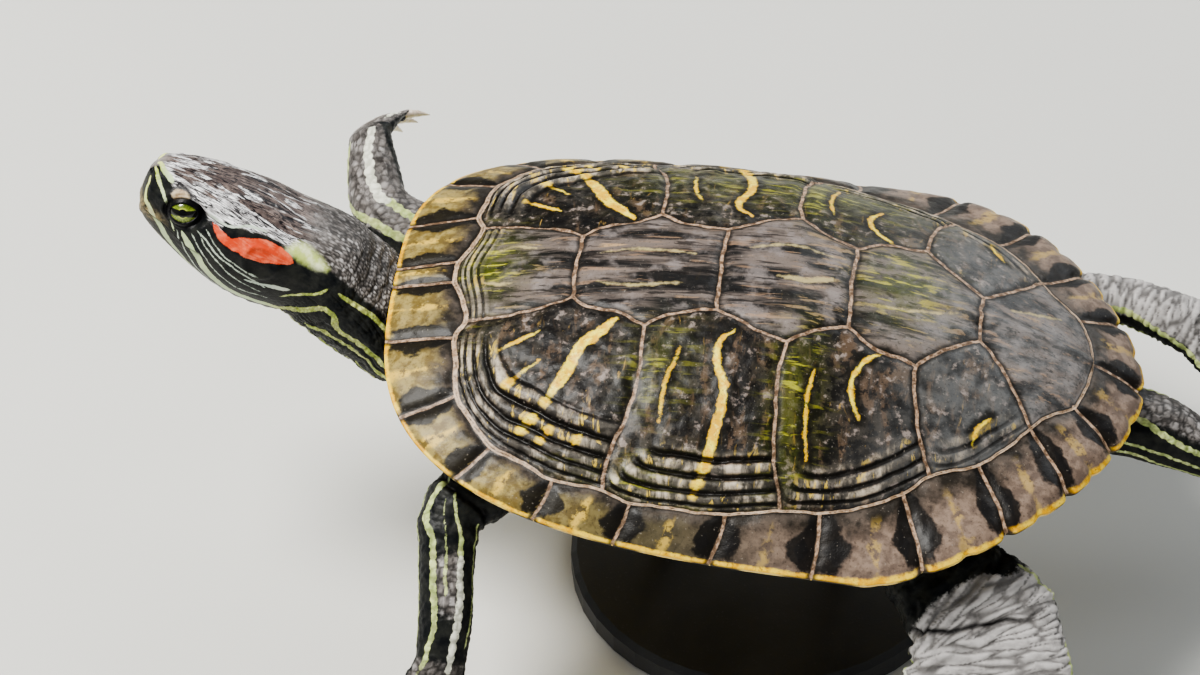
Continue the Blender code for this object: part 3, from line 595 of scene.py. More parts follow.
    # underside of the rim: yellow with smudges by the seams
    u_col = mix(ramp(n_mid, 0.40, 0.60), (0.62, 0.42, 0.10), (0.78, 0.62, 0.26))
    u_smudge = mul(ramp(cell_w, 0.36, 0.60), ramp(radial, 0.05, 0.35))
    u_col = mix(u_smudge, u_col, (0.035, 0.028, 0.016))
    col = mix(under, col, u_col)
    height = g.math('ADD', mul(n_fine, 0.5), mul(g.noise(0.45, 3, 0.6), 0.35))
    height = g.math('ADD', height, mul(mul(hair, vert), 1.1))
    nor = g.bump(height, 0.38, 0.0005)
    rough = g.math('ADD', mul(n_mid, 0.26), 0.27)
    return g.finish(col, rough, nor, Coat_Weight=0.05, Coat_Roughness=0.24, IOR=1.42, Specular_IOR_Level=0.24)


def carapace():
    turns, tops = 1200, 270
    t = np.arange(turns) * 2 * math.pi / turns
    rho = np.concatenate([np.linspace(0.006, 0.90, tops - 40, endpoint=False), 0.90 + 0.10 * np.linspace(0, 1, 40)])
    T = np.tile(t, (tops, 1))
    R = np.tile(rho[:, None], (1, turns))
    P = dome(T.ravel(), R.ravel())
    side = np.abs(P[:, 1])
    # which scute a point is on
    ring_pts = np.array(RING, float)
    rt, rr = polar(ring_pts[:, 0], ring_pts[:, 1])
    order = np.argsort(rt)
    ang = np.arctan2(np.abs(np.sin(T.ravel())), np.cos(T.ravel()))
    # direction of a dome point in the normalised plan
    pt, prho = polar(P[:, 0], P[:, 1])
    ang = np.abs(pt)
    ring_rho = np.interp(ang, rt[order], rr[order])
    radial = (R.ravel() - ring_rho) / (1 - ring_rho)
    vs = np.vstack([np.array(s, float)[:-1] for s in VERTEBRAL_SIDE] + [np.array([J_V5], float)])
    vert_y = np.interp(P[:, 0], vs[:, 0], vs[:, 1])
    is_vert = (side < vert_y) & (radial < 0)
    seam_x = []
    for c in COSTAL:
        c = np.array(c, float)
        seam_x.append(np.interp(side, c[:, 1], c[:, 0]))
    costal = sum((P[:, 0] > s).astype(int) for s in seam_x)
    vert = sum((P[:, 0] > j[0]).astype(int) for j in (J_V12, J_V23, J_V34, J_V45))
    # marginal cells: share of the way from one seam to the next
    outer = np.array([m[1] for m in MARGINAL], float)
    inner = np.array([m[0] for m in MARGINAL], float)
    ot = polar(outer[:, 0], outer[:, 1])[0]
    it = polar(inner[:, 0], inner[:, 1])[0]
    ot, it = ot[::-1], it[::-1]
    k = np.clip(radial, 0, 1)
    cell_out = np.interp(ang, ot, np.arange(len(ot), dtype=float))
    cell_in = np.interp(ang, it, np.arange(len(it), dtype=float))
    cell_f = cell_in * (1 - k) + cell_out * k
    over = np.clip((ang - ot[-1]) / (math.pi - ot[-1]), 0, 1) * 0.5
    cell_f = cell_f + np.where(ang > ot[-1], over, 0)
    cell_id = np.floor(cell_f)
    cell = (cell_f - cell_id) * 2 - 1

    seams, ring, margins = shell_lines()
    d_seam = nearest(tree_of(on_dome(np.vstack(seams))), P)
    d_ring = nearest(tree_of(on_dome(np.vstack(ring))), P)
    d_margin = nearest(tree_of(on_dome(np.vstack(margins))), P)
    # growth rings, counted inward from the front and outer edges of each scute
    front_gap = np.where(costal == 0, 60.0, np.choose(np.clip(costal, 1, 3) - 1, [P[:, 0] - s for s in seam_x]))
    near_front = smooth(-P[:, 0], 56, 82)
    loop = np.vstack([ring[0], ring[1][::-1]])
    taps = np.exp(-(np.arange(-60, 61) / 30.0) ** 2)
    soft = np.stack([np.convolve(np.concatenate([c[-60:], c, c[:60]]), taps / taps.sum(), 'valid') for c in loop.T], -1)
    d_soft = nearest(tree_of(on_dome(soft)), P)
    g1, g2 = d_soft * (1 + 1.05 * near_front), np.maximum(front_gap, 0) * 1.35 + 1.5
    grow = -np.log(np.exp(-g1 / 2.2) + np.exp(-g2 / 2.2)) * 2.2
    grow = np.maximum(grow + 0.45 * value_noise(P, 9.0, 3) + 0.25 * value_noise(P, 4.0, 4), 0)
    reach = np.choose(np.clip(costal, 0, 3), [19.5, 16.0, 12.0, 9.0])
    strength = np.choose(np.clip(costal, 0, 3), [1.0, 1.0, 0.62, 0.40])
    weight = strength * (1 - smooth(grow, reach - 3, reach + 1)) * smooth(grow, 0.6, 1.8)
    weight = weight * (1 - 0.96 * smooth(g1 - g2, -4, 3))
    weight = np.where(is_vert | (radial > 0), 0, weight)
    weight = weight * smooth(side, 20, 34)
    # the first vertebral is finely ridged along its front edge
    first = is_vert & (vert == 0)
    grow = np.where(first, d_soft * 2.4, grow)
    weight = np.where(first, 0.45 * (1 - smooth(grow, 14, 20)) * smooth(grow, 0.8, 2.0), weight)
    P0 = P.copy()
    faces_top = tube_faces(tops, turns)
    nrm = unit(mesh_normals(P, faces_top))
    if nrm[:, 2].mean() < 0:
        nrm = -nrm
    h = np.zeros(len(P))
    h += weight * (0.60 + 0.075 * np.minimum(grow, 14)) * (np.abs(np.sin(math.pi * ridge_phase(grow))) ** 0.75 - 0.55)
    any_seam = np.minimum(np.minimum(d_seam, d_ring), d_margin)
    h += 0.62 * (1 - np.exp(-(any_seam / 1.8) ** 2)) - 0.5
    h += 0.12 * np.exp(-(any_seam / 0.75) ** 2) + 0.10 * np.exp(-((d_ring - 0.5) / 0.4) ** 2)
    h += 0.30 * fractal(P * np.array([1, 1, 1]), 16, 3, 5)
    h += 0.10 * fractal(P, 2.6, 2, 9)
    # worn horn: lumpy on the costals, ridged lengthwise on the vertebrals
    lumps = np.where(radial < 0, np.where(is_vert, 0.0, np.choose(np.clip(costal, 0, 3), [0.58, 0.58, 0.28, 0.22])), 0.12)
    h += lumps * fractal(P * np.array([1.0, 0.75, 0.75]), 5.2, 3, 12)
    h += np.where(is_vert, 0.16, 0.0) * fractal(P * np.array([0.22, 1.0, 1.0]), 2.4, 2, 14)
    keel = 0.9 * smooth(P[:, 0], 20, 60) * (1 - smooth(P[:, 0], 82, 96)) + 0.25
    h += keel * np.exp(-(side / 2.2) ** 2) * (radial < 0)
    h += np.where(radial > 0, 0.55 * (1 - cell ** 2) * smooth(radial, 0, 0.3) * (1 - smooth(radial, 0.8, 1.0)), 0)
    h *= 1 - 0.6 * smooth(R.ravel(), 0.985, 1.0)
    P = P + nrm * h[:, None]
    # rear marginals are notched at their seams and, less, in the middle
    rear = 1 - smooth(cell_f, 3.6, 5.0)
    notch = -1.6 * np.exp(-((1 - np.abs(cell)) / 0.14) ** 2) - 1.0 * np.exp(-(cell / 0.16) ** 2) + 0.7
    notch = np.where(ang > 2.9, 0, notch)
    edge_w = smooth(radial, 0.55, 1.0)
    out_dir = unit(np.stack([np.cos(T.ravel()) * 1.2, np.sin(T.ravel()), np.zeros(len(P))], -1))
    P = P + out_dir * (notch * rear * edge_w)[:, None]
    flare = 0.8 * smooth(radial, 0.45, 1.0) * (1 - smooth(cell_f, 4.0, 6.5))
    P[:, 2] += flare
    # underside
    lows = 46
    rho_u = np.concatenate([1 - 0.03 * (np.linspace(0, 1, 9)[1:] ** 1.6), np.linspace(0.968, 0.20, lows - 8)])
    top_rim = P[(tops - 1) * turns:]
    U = []
    ua, uc = [], []
    rim_P0 = P0[(tops - 1) * turns:]
    shift = top_rim - rim_P0
    for r in rho_u:
        q = dome(t, np.full(turns, r))
        k = min(1.0, (1 - r) / 0.14)
        round_in = min(1.0, (1 - r) / 0.012)
        drop = (RIM_THICK + (SHELL_THICK - RIM_THICK) * k) * math.sqrt(1 - (1 - round_in) ** 2)
        q[:, 2] -= drop
        q = q + shift * max(0.0, 1 - (1 - r) / 0.06)
        U.append(q)
        ua.append(np.full(turns, 1.0))
    U = np.vstack(U)
    n_under = len(rho_u)
    allP = np.vstack([P, U])
    rim_cell = cell[(tops - 1) * turns:]
    u_radial = np.repeat((rho_u - 0.86) / 0.14, turns)

    def extend(v, u):
        return np.concatenate([v, u])
    far = np.full(len(U), 9.0)
    d_margin_u = np.tile(d_margin[(tops - 1) * turns:], n_under)
    # the ring line is broad at the front and thin along the sides
    thin = 1 + 0.75 * smooth(P0[:, 0], -66, -44)
    # the yellow edge is widest below the front of the bridge
    wide = 0.030 * bump(P0[:, 0], -34, 24) * smooth(radial, 0.5, 0.9)
    moss = sum(k * np.exp(-((P0[:, 0] - x) / a) ** 2 - ((P0[:, 1] - y) / b) ** 2) for x, y, a, b, k in GREEN)
    # painted reflection: the scutes' rear grey is partly dry bloom, partly painted sky haze
    painted_sky_haze_and_bloom = np.where(is_vert, 0.68, 0.9) * smooth(P0[:, 0], 14, 60)
    attrs = {
        "green": extend(np.where(radial < 0, np.clip(moss, 0, 1), bump(P0[:, 0], -20, 27)), far * 0),
        "seam": extend(d_seam, far), "ring": extend(d_ring * thin, far), "margin_seam": extend(d_margin, d_margin_u),
        "bar": extend(bar_distance(P0, BARS, True), far + 20), "stroke": extend(bar_distance(P0, V_STROKES, False), far + 20),
        "grow": extend(grow, far), "grow_weight": extend(weight, far * 0),
        "radial": extend(radial + wide, u_radial), "cell": extend(cell, np.tile(rim_cell, n_under)),
        "vertebral": extend(is_vert.astype(float), far * 0),
        "tone": extend(np.where(radial > 0, smooth(P0[:, 0], -38, 4), painted_sky_haze_and_bloom), far * 0),
        "under": extend(np.zeros(len(P)), np.ones(len(U))),
    }
    total = tops + n_under
    top_mid = len(allP)
    allP = np.vstack([allP, P[:turns].mean(0), U[-turns:].mean(0)])
    for k in attrs:
        attrs[k] = np.concatenate([attrs[k], [attrs[k][:turns].mean(), attrs[k][len(P) + len(U) - turns:len(P) + len(U)].mean()]])
    faces = tube_faces(total, turns, top_mid, top_mid + 1, flip=True)
    ob = make_object("shell_carapace", allP, faces, shell_material(), attrs)
    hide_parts("carapace")
    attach(ob, "root")
    return ob


# ---------------------------------------------------------------- head and neck
def head_axes():
    y, p, r = (math.radians(a) for a in (HEAD_YAW, HEAD_PITCH, HEAD_ROLL))
    f = np.array([-math.cos(p) * math.cos(y), math.cos(p) * math.sin(y), math.sin(p)])
    left = np.array([-math.sin(y), -math.cos(y), 0.0])
    up = np.cross(f, left)
    return f, math.cos(r) * left + math.sin(r) * up, -math.sin(r) * left + math.cos(r) * up


HEAD_F, HEAD_L, HEAD_U = head_axes()
HEAD_STATIONS = (
    (0.0, 3.4, 4.4, 7.0, 0.20), (1.2, 5.6, 5.8, 9.4, 0.22), (4.0, 7.8, 7.2, 11.6, 0.26),
    (8.0, 9.8, 8.3, 13.4, 0.30), (12.5, 11.9, 9.2, 15.0, 0.30), (18.0, 14.0, 10.0, 16.8, 0.28),
    (25.0, 16.0, 10.6, 18.6, 0.24), (32.0, 17.0, 10.6, 19.6, 0.20), (39.0, 16.6, 10.2, 19.6, 0.14),
    (45.0, 16.4, 10.4, 19.0, 0.10))
HEAD_AROUND = 344


def head_point(p):
    p = np.asarray(p, float) * HEAD_SCALE
    return HEAD_AT + p[..., 0:1] * HEAD_F + p[..., 1:2] * HEAD_L + p[..., 2:3] * HEAD_U


def to_head(P):
    v = (P - HEAD_AT) / HEAD_SCALE
    return np.stack([v @ HEAD_F, v @ HEAD_L, v @ HEAD_U], -1)


def section(w, top, low, taper, angles, power=2.35):
    c, s = np.cos(angles), np.sin(angles)
    ca = np.sign(c) * np.abs(c) ** (2 / power)
    sa = np.sign(s) * np.abs(s) ** (2 / power)
    y = w * ca * (1 - taper * np.maximum(0, sa) - 0.16 * np.maximum(0, -sa))
    return np.stack([y, np.where(sa > 0, top * sa, low * sa)], -1)


def hermite(keys, knots, want):
    """Smooth curve through keys (any shape) at knots, read at want."""
    keys = np.asarray(keys, float)
    slopes = np.gradient(keys, knots, axis=0)
    i = np.clip(np.searchsorted(knots, want, side='right') - 1, 0, len(knots) - 2)
    h = (knots[i + 1] - knots[i])
    u = (want - knots[i]) / h
    shape = (-1,) + (1,) * (keys.ndim - 1)
    u, h = u.reshape(shape), h.reshape(shape)
    return ((2 * u ** 3 - 3 * u ** 2 + 1) * keys[i] + (u ** 3 - 2 * u ** 2 + u) * h * slopes[i]
            + (-2 * u ** 3 + 3 * u ** 2) * keys[i + 1] + (u ** 3 - u ** 2) * h * slopes[i + 1])


def smooth_table(table, count):
    t = np.asarray(table, float)
    seg = np.linalg.norm(np.diff(t[:, :3], axis=0), axis=1)
    knots = np.concatenate([[0], np.cumsum(seg)])
    return hermite(t, knots, np.linspace(0, knots[-1], count))


NECK_ROWS = ((-64.0, 0.0, -16.0, 16.0, 12.0, 0.0, 12.0), (-80.0, 0.2, -15.5, 17.0, 11.6, 0.0, 13.5),
             (-95.0, 1.0, -16.0, 17.6, 9.2, 0.12, 14.0), (-105.0, 2.0, -7.4, 18.0, 11.0, 0.5, 17.6))


def head_grid():
    """Rings from the snout back to inside the shell, and how far back each lies."""
    ang = np.arange(HEAD_AROUND) * 2 * math.pi / HEAD_AROUND
    st = np.array(HEAD_STATIONS)
    ds = np.concatenate([2.4 * np.linspace(0.03, 1, 16) ** 2, np.arange(2.65, 45.0, 0.27)])
    rows = hermite(st[:, 1:], st[:, 0], ds)
    rings, dist = [], []
    for d, (w, top, low, taper) in zip(ds, rows):
        k = math.sqrt(max(0.0, 1 - (1 - min(1.0, d / 2.4)) ** 2)) ** 0.9
        sec = section(w * k, top * k, low * k, taper, ang)
        # the snout's tip sits high on the face
        lift = (1 - k) * 0.5
        rings.append(head_point(np.column_stack([np.full(len(sec), EYE_STATION - d), sec[:, 0], sec[:, 1] + lift])))
        dist.append(d)
    back = head_point(np.array([[EYE_STATION - st[-1, 0], 0, 0]]))[0]
    neck_rows = list(NECK_ROWS) + [(back[0] + 5.5, back[1] - 0.6, back[2] - 2.6, 17.0, 12.0, 0.9, 18.8)]
    nr = smooth_table(neck_rows, 9)
    tangents = unit(np.gradient(nr[:, :3], axis=0))
    keys, knots = [], []
    for row, tan in zip(nr[::-1], tangents[::-1]):
        up = unit(np.array([0, 0, 1.0]) * (1 - row[5]) + HEAD_U * row[5])
        side = unit(np.cross(up, tan))
        lift = np.cross(tan, side)
        sec = section(row[3], row[4], row[6], 0.05, ang, 2.1)
        keys.append(row[:3] + sec[:, 0:1] * side + sec[:, 1:2] * lift)
    keys = [rings[-12], rings[-1]] + keys
    mid = np.array([k.mean(0) for k in keys])
    knots = np.concatenate([[0], np.cumsum(np.linalg.norm(np.diff(mid, axis=0), axis=1))])
    want = np.arange(knots[1] + 0.34, knots[-1], 0.36)
    fine = hermite(np.array(keys), knots, want)
    rings = np.array(rings + list(fine))
    dist = np.array(dist + list(dist[-1] + want - knots[1]))
    return rings, dist


def on_head(rings, dist, points):
    """Points of the head and neck given (distance back from the snout, degrees round from the left, up positive)."""
    p = np.asarray(points, float)
    i = np.clip(np.interp(p[:, 0], dist, np.arange(len(dist))), 0, len(dist) - 1.001)
    j = (p[:, 1] / 360.0 * HEAD_AROUND) % HEAD_AROUND
    i0, j0 = np.floor(i).astype(int), np.floor(j).astype(int)
    fi, fj = (i - i0)[:, None], (j - j0)[:, None]
    j1, j0 = (j0 + 1) % HEAD_AROUND, j0 % HEAD_AROUND
    a = rings[i0, j0] * (1 - fj) + rings[i0, j1] * fj
    b = rings[i0 + 1, j0] * (1 - fj) + rings[i0 + 1, j1] * fj
    return a * (1 - fi) + b * fi


# ------------------------------------------------------------- head and neck skin
# control points: distance back from the snout (mm), degrees round from the left
# side (up positive), width (mm); the right side is the mirror image
FACE_STRIPES = (
    ((1.0, 78, 0.8), (3.0, 50, 1.4), (6.4, 33, 1.6)),
    ((0.8, 58, 0.7), (2.1, 32, 1.1), (4.5, 12, 1.0), (6.4, 2, 0.8), (9.0, -9, 0.6), (12.0, -20, 0.4)),
    ((0.7, 18, 0.9), (1.7, -14, 1.3), (4.3, -23, 1.5), (8.6, -36, 2.2), (12.0, -46, 2.3), (17.0, -53, 1.5),
     (24.0, -60, 1.2)),
    ((13.6, -13, 1.3), (16.7, -20, 2.1), (19.4, -27, 2.5), (22.9, -33, 2.7), (27.5, -39, 2.9), (34.0, -45, 2.7),
     (41.5, -44, 2.3), (48.4, -44, 2.0), (51.8, -27, 1.9), (54.0, -9, 1.8), (57.5, -5, 1.8), (61.5, -13, 1.9),
     (67.0, -9, 1.8), (74.0, -3, 1.7), (86.0, 4, 1.6)),
    ((16.8, -2, 0.5), (21.0, -6, 0.6), (23.7, -9, 0.6), (27.0, -10, 0.5), (32.0, -12, 0.5), (39.0, -17, 0.4)),
    ((15.6, -7, 0.3), (19.5, -15, 0.4), (25.0, -24, 0.4), (33.0, -31, 0.4), (41.0, -29, 0.35)),
    ((18.6, 3, 0.35), (22.5, -3, 0.4), (28.0, -8, 0.4), (36.0, -9, 0.4)),
    ((17.6, -3, 0.3), (20.8, -10, 0.4), (26.0, -16, 0.4), (33.0, -21, 0.35), (39.0, -24, 0.3)),
    ((12.4, -16, 0.3), (14.6, -27, 0.4), (18.0, -38, 0.45), (24.0, -48, 0.4), (33.0, -56, 0.35)),
    ((17.3, 20, 0.5), (22.0, 20, 0.6), (25.0, 24, 0.6), (28.0, 33, 0.7), (33.0, 38, 0.6)),
    ((53.5, 16, 0.9), (60.6, 23, 1.3), (67.4, 29, 1.3), (78.0, 33, 1.3), (90.0, 34, 1.2)),
    ((43.5, -22, 0.6), (47.0, -12, 0.7), (49.8, -2, 0.8), (50.8, 13, 0.6)),
    ((56.5, -43, 1.2), (60.2, -30, 1.5), (65.6, -22, 1.5), (74.0, -16, 1.5), (88.0, -12, 1.4)),
    ((54.0, -62, 1.0), (64.0, -50, 1.4), (76.0, -42, 1.5), (92.0, -36, 1.5)),
    ((6.5, -74, 1.0), (14.0, -72, 1.8), (24.0, -70, 1.8), (36.0, -66, 1.6), (50.0, -66, 1.8), (66.0, -64, 2.0),
     (92.0, -60, 2.0)),
    ((9.0, -90, 1.6), (15.0, -89, 2.4), (24.0, -82, 1.8), (40.0, -79, 2.0), (62.0, -80, 2.3), (92.0, -81, 2.3)),
    ((33.0, -17, 0.5), (37.5, -15, 1.0), (42.0, -12, 1.5), (45.0, -10, 0.8)),
)
PALE_ON_FACE = (4, 5, 6, 7, 8, 9, 16)  # hairlines behind the eye, the line over the red patch, the smear under it
RED_PATCH = ((19.2, 14, 0.8), (21.6, 9, 2.0), (25.0, 5, 2.8), (29.0, 9, 4.8), (33.5, 14, 6.2), (38.0, 18, 4.6),
             (42.0, 18, 1.6))
LIME_PATCH = ((39.5, 30, 1.4), (42.6, 35, 4.0), (45.6, 33, 3.4), (48.2, 31, 1.6))
TOP_EDGE = ((0, 66), (4, 44), (7, 27), (18, 24), (25, 25), (34, 36), (42, 31), (50, 30), (60, 35), (72, 40), (92, 42))
EYE_OPENING = (3.75, 2.65)
EYE_TILT = 20.0
MOUTH_UP, MOUTH_SLOPE, MOUTH_CORNER = -6.6, 0.05, -9.0


def eye_frame(side):
    """Centre of an eyeball, its outward axis, and the axes along and across its opening."""
    centre = head_point(np.array([EYE_BACK, side * EYE_SIDE, EYE_UP]))
    out = unit(0.14 * HEAD_F + 0.95 * side * HEAD_L + 0.28 * HEAD_U)
    along = unit(HEAD_F - np.dot(HEAD_F, out) * out)
    up = unit(HEAD_U - np.dot(HEAD_U, out) * out - np.dot(HEAD_U, along) * along)
    a = math.radians(EYE_TILT)
    return centre, out, math.cos(a) * along - math.sin(a) * up, math.sin(a) * along + math.cos(a) * up


def tracks(rings, dist, listed, seed=0):
    """Points along stripes on the head and half their width, both sides."""
    pts, half = [], []
    for k, table in enumerate(listed):
        t = np.asarray(table, float) * (1.0, 0.27, 1.0)
        line = curve_through(t, 0.22, 0.10, seed + k)
        line[:, 1] /= 0.27
        s = np.arange(len(line)) * 0.22
        end = np.sqrt(np.clip(np.minimum(s, s[::-1]) / 1.2 + 0.08, 0, 1))
        for mirrored in (False, True):
            deg = 180 - line[:, 1] if mirrored else line[:, 1]
            pts.append(on_head(rings, dist, np.column_stack([line[:, 0], deg])))
            half.append(0.5 * line[:, 2] * end)
    return np.vstack(pts), np.concatenate(half)


def inside_distance(P, pts, half, reach=6.0):
    """How deep inside the stripes a point is, mm; negative outside."""
    out = np.full(len(P), -reach)
    lo, hi = pts.min(0) - reach, pts.max(0) + reach
    near = np.where(((P > lo) & (P < hi)).all(1))[0]
    d, i = nearest(tree_of(pts), P[near], True)
    out[near] = np.maximum(-reach, half[i] - d)
    return out


def open_eyes(P, opening_mask):
    """Sink the sockets, lay the lids on the eyeballs and fold the skin round them."""
    out = P.copy()
    crease = np.zeros(len(P))
    lid = np.zeros(len(P))
    R = EYE_RADIUS * 1.0
    for side in (1, -1):
        centre, axis, along, up = eye_frame(side)
        v = out - centre
        o, p, q = v @ axis, v @ along, v @ up
        rr = ((np.abs(p) / EYE_OPENING[0]) ** 1.75 + (np.abs(q) / EYE_OPENING[1]) ** 1.75) ** (1 / 1.75)
        near = (o > 0) & (rr < 2.7)
        k = np.where(near)[0]
        o, p, q, rr = o[k], p[k], q[k], np.maximum(rr[k], 1e-3)
        snap = np.abs(rr - 1.0) < 0.052
        scale = np.where(snap, 1.0 / rr, 1.0)
        p, q, rr = p * scale, q * scale, np.where(snap, 1.0, rr)
        ball = np.sqrt(np.maximum(R ** 2 - p ** 2 - q ** 2, 0.2))
        lids = ball + 0.34 + 0.30 * smooth(rr, 1.0, 1.35)
        blend = smooth(rr, 1.16, 1.95)
        h = lids * (1 - blend) + o * blend
        # margin of each lid, a fold outside it and the swelling of the orbit
        h = h + 0.16 * bump(rr, 1.10, 0.07) - 0.34 * bump(rr, 1.46, 0.055) + 0.26 * bump(rr, 1.62, 0.11)
        h = h - 0.15 * bump(rr, 1.27, 0.03) * (0.6 + 0.4 * np.sin(np.arctan2(q, p) * 3))
        over = np.where(q > 0, 1.0, 0.0) * smooth(rr, 1.25, 1.6) * (1 - smooth(rr, 1.9, 2.6))
        h = h + 0.75 * over * np.clip(q / EYE_OPENING[1], 0, 1.6) / 1.6
        h = np.where(rr < 0.999, ball - 0.9, h)
        out[k] = centre + h[:, None] * axis + p[:, None] * along + q[:, None] * up
        crease[k] = np.maximum(crease[k], bump(rr, 1.46, 0.07) + 0.6 * bump(rr, 1.27, 0.04))
        lid[k] = np.maximum(lid[k], 1 - smooth(rr, 1.35, 1.75))
    return out, crease, lid


def head_skin():
    rings, dist = head_grid()
    n_rings = len(dist)
    base = rings.reshape(-1, 3)
    N = grid_normals(base, n_rings, HEAD_AROUND)
    centre = rings.mean(axis=1, keepdims=True)
    if np.mean(np.sum((rings - centre).reshape(-1, 3) * N, axis=1)) < 0:
        N = -N
    # near the snout's tip the normals lean forward
    deg = np.tile(np.arange(HEAD_AROUND) * 360.0 / HEAD_AROUND, n_rings)
    fold = np.where(deg > 180, deg - 360, deg)
    fold = np.where(fold > 90, 180 - fold, np.where(fold < -90, -180 - fold, fold))
    d = np.repeat(dist, HEAD_AROUND)
    H = to_head(base)
    F, L, U = H[:, 0], H[:, 1], H[:, 2]
    stripe = inside_distance(base, *tracks(rings, dist, FACE_STRIPES))
    pale = inside_distance(base, *tracks(rings, dist, [FACE_STRIPES[k] for k in PALE_ON_FACE]))
    red = inside_distance(base, *tracks(rings, dist, (RED_PATCH,), 50))
    lime = inside_distance(base, *tracks(rings, dist, (LIME_PATCH,), 60))
    edge = np.interp(d, *np.array(TOP_EDGE, float).T)
    top = (fold - edge) * 0.27
    # the crown's pale region, where the white painted glare lies, comes down behind the eye; a tan patch lies on the
    # upper lid
    lid_patch = np.full(len(base), -6.0)
    for side in (1, -1):
        c, axis, along, up = eye_frame(side)
        p, q, o = (base - c) @ along, (base - c) @ up, (base - c) @ axis
        down = np.where(p < -1.9, (q - 4.5 - 0.92 * (p + 1.9)) / 1.36, q - 4.5)
        down = np.minimum(down, np.minimum(3.4 - p, p + 10.5) * 0.8)
        top = np.where(o > 0, np.maximum(top, down), top)
        spot = 1.3 * (1 - np.sqrt(((p - 1.3) / 2.2) ** 2 + ((q - 4.3) / 1.35) ** 2))
        lid_patch = np.where(o > 0, np.maximum(lid_patch, spot), lid_patch)
    disp = np.zeros(len(base))
    dark = np.zeros(len(base))
    # brow over the eye and ridge from brow to nostril
    brow = inside_distance(base, *tracks(rings, dist, (((6.8, 34, 1), (10.0, 41, 1), (14.5, 40, 1), (19.0, 31, 1)),), 3))
    disp += 0.75 * np.exp(-(np.minimum(brow, 0) / 1.9) ** 2)
    ridge = inside_distance(base, *tracks(rings, dist, (((1.2, 66, 0.4), (3.4, 52, 0.4), (6.8, 36, 0.4)),), 4))
    disp += 0.30 * np.exp(-(np.minimum(ridge, 0) / 0.8) ** 2)
    # a shallow trough between brow and snout, and the flat of the crown
    disp -= 0.35 * bump(d, 5.0, 2.6) * bump(fold, 12, 22)
    disp -= 0.30 * bump(d, 12.0, 6.0) * smooth(fold, 66, 88)
    # eardrum, jaw muscle and corner of the jaw
    ear = np.sqrt(((d - 34.5) / 4.6) ** 2 + ((fold - 4) * 0.28 / 3.9) ** 2)
    disp += 0.30 * bump(ear, 1.0, 0.16) - 0.32 * (1 - smooth(ear, 0.5, 1.0))
    disp += 0.55 * bump(d, 28, 7) * bump(fold, -28, 22)
    disp -= 0.55 * bump(d, 46, 4.5) * (1 - smooth(fold, 10, 50))
    # mouth: the beak overlaps the lower jaw, notched at the front
    line = MOUTH_UP - MOUTH_SLOPE * (EYE_STATION - F) + 0.7 * bump(L, 0, 0.9) * smooth(F, 9.0, 12.0)
    line = line - 0.9 * smooth(F, 3.0, -9.0) * smooth(F, -9.5, -4.0) + 0.25 * np.sin(F * 0.55)
    m = U - line
    in_mouth = smooth(F, MOUTH_CORNER - 1.6, MOUTH_CORNER + 1.5)
    disp -= 0.62 * np.exp(-(m / 0.30) ** 2) * in_mouth
    disp += 0.16 * np.exp(-((m - 0.75) / 0.5) ** 2) * in_mouth
    disp -= 0.42 * smooth(m, 0.0, -0.7) * in_mouth * smooth(m, -7.0, -2.5)
    # painted shade: the mouth line between beak and jaw is painted near black
    dark = np.maximum(dark, np.exp(-(m / 0.33) ** 2) * in_mouth)
    corner = np.exp(-((F - MOUTH_CORNER + 1.6) / 2.0) ** 2 - ((m + 1.2) / 1.0) ** 2) * smooth(F, -13.5, -9.5)
    disp -= 0.25 * corner
    beak = np.exp(-((m - 1.0) / 1.5) ** 2) * smooth(F, 1.0, 8.0) + 0.9 * np.exp(-((m + 1.6) / 1.3) ** 2) * smooth(F, 3.0, 9.0)
    # nostrils: sunk, and painted near black as shade
    for side in (1, -1):
        hole = np.sqrt((F - 12.75) ** 2 * 0.3 + (L - side * 1.35) ** 2 + ((U - 2.35) * 1.15) ** 2)
        disp -= 1.05 * np.exp(-(hole / 0.52) ** 4)
        disp += 0.16 * bump(hole, 0.95, 0.25)
        dark = np.maximum(dark, np.exp(-(hole / 0.55) ** 4))
    face = 1 - smooth(d, 38, 48)
    # fine wrinkles of the crown, laid lengthwise
    flow = np.column_stack([d * 0.30, fold * 0.27, np.sign(L) * 3.0])
    w1 = 1 - np.abs(value_noise(flow, 1.1, 5)) * 2.2
    w2 = 1 - np.abs(value_noise(flow * (1.6, 1.0, 1.0), 0.62, 9)) * 2.2
    on_top = smooth(top, -0.5, 1.0)
    line_w = np.clip(w1, 0, 1) ** 3 * on_top * smooth(d, 5, 10) * face
    disp -= 0.16 * line_w + 0.07 * np.clip(w2, 0, 1) ** 2 * on_top * face
    # face and jaw: faint smooth plates
    f1, f2, tone = cells(base, 3.4, 11)
    disp -= 0.06 * (1 - smooth(f2 - f1, 0.03, 0.14)) * face * (1 - on_top) * smooth(fold, 30, -10)
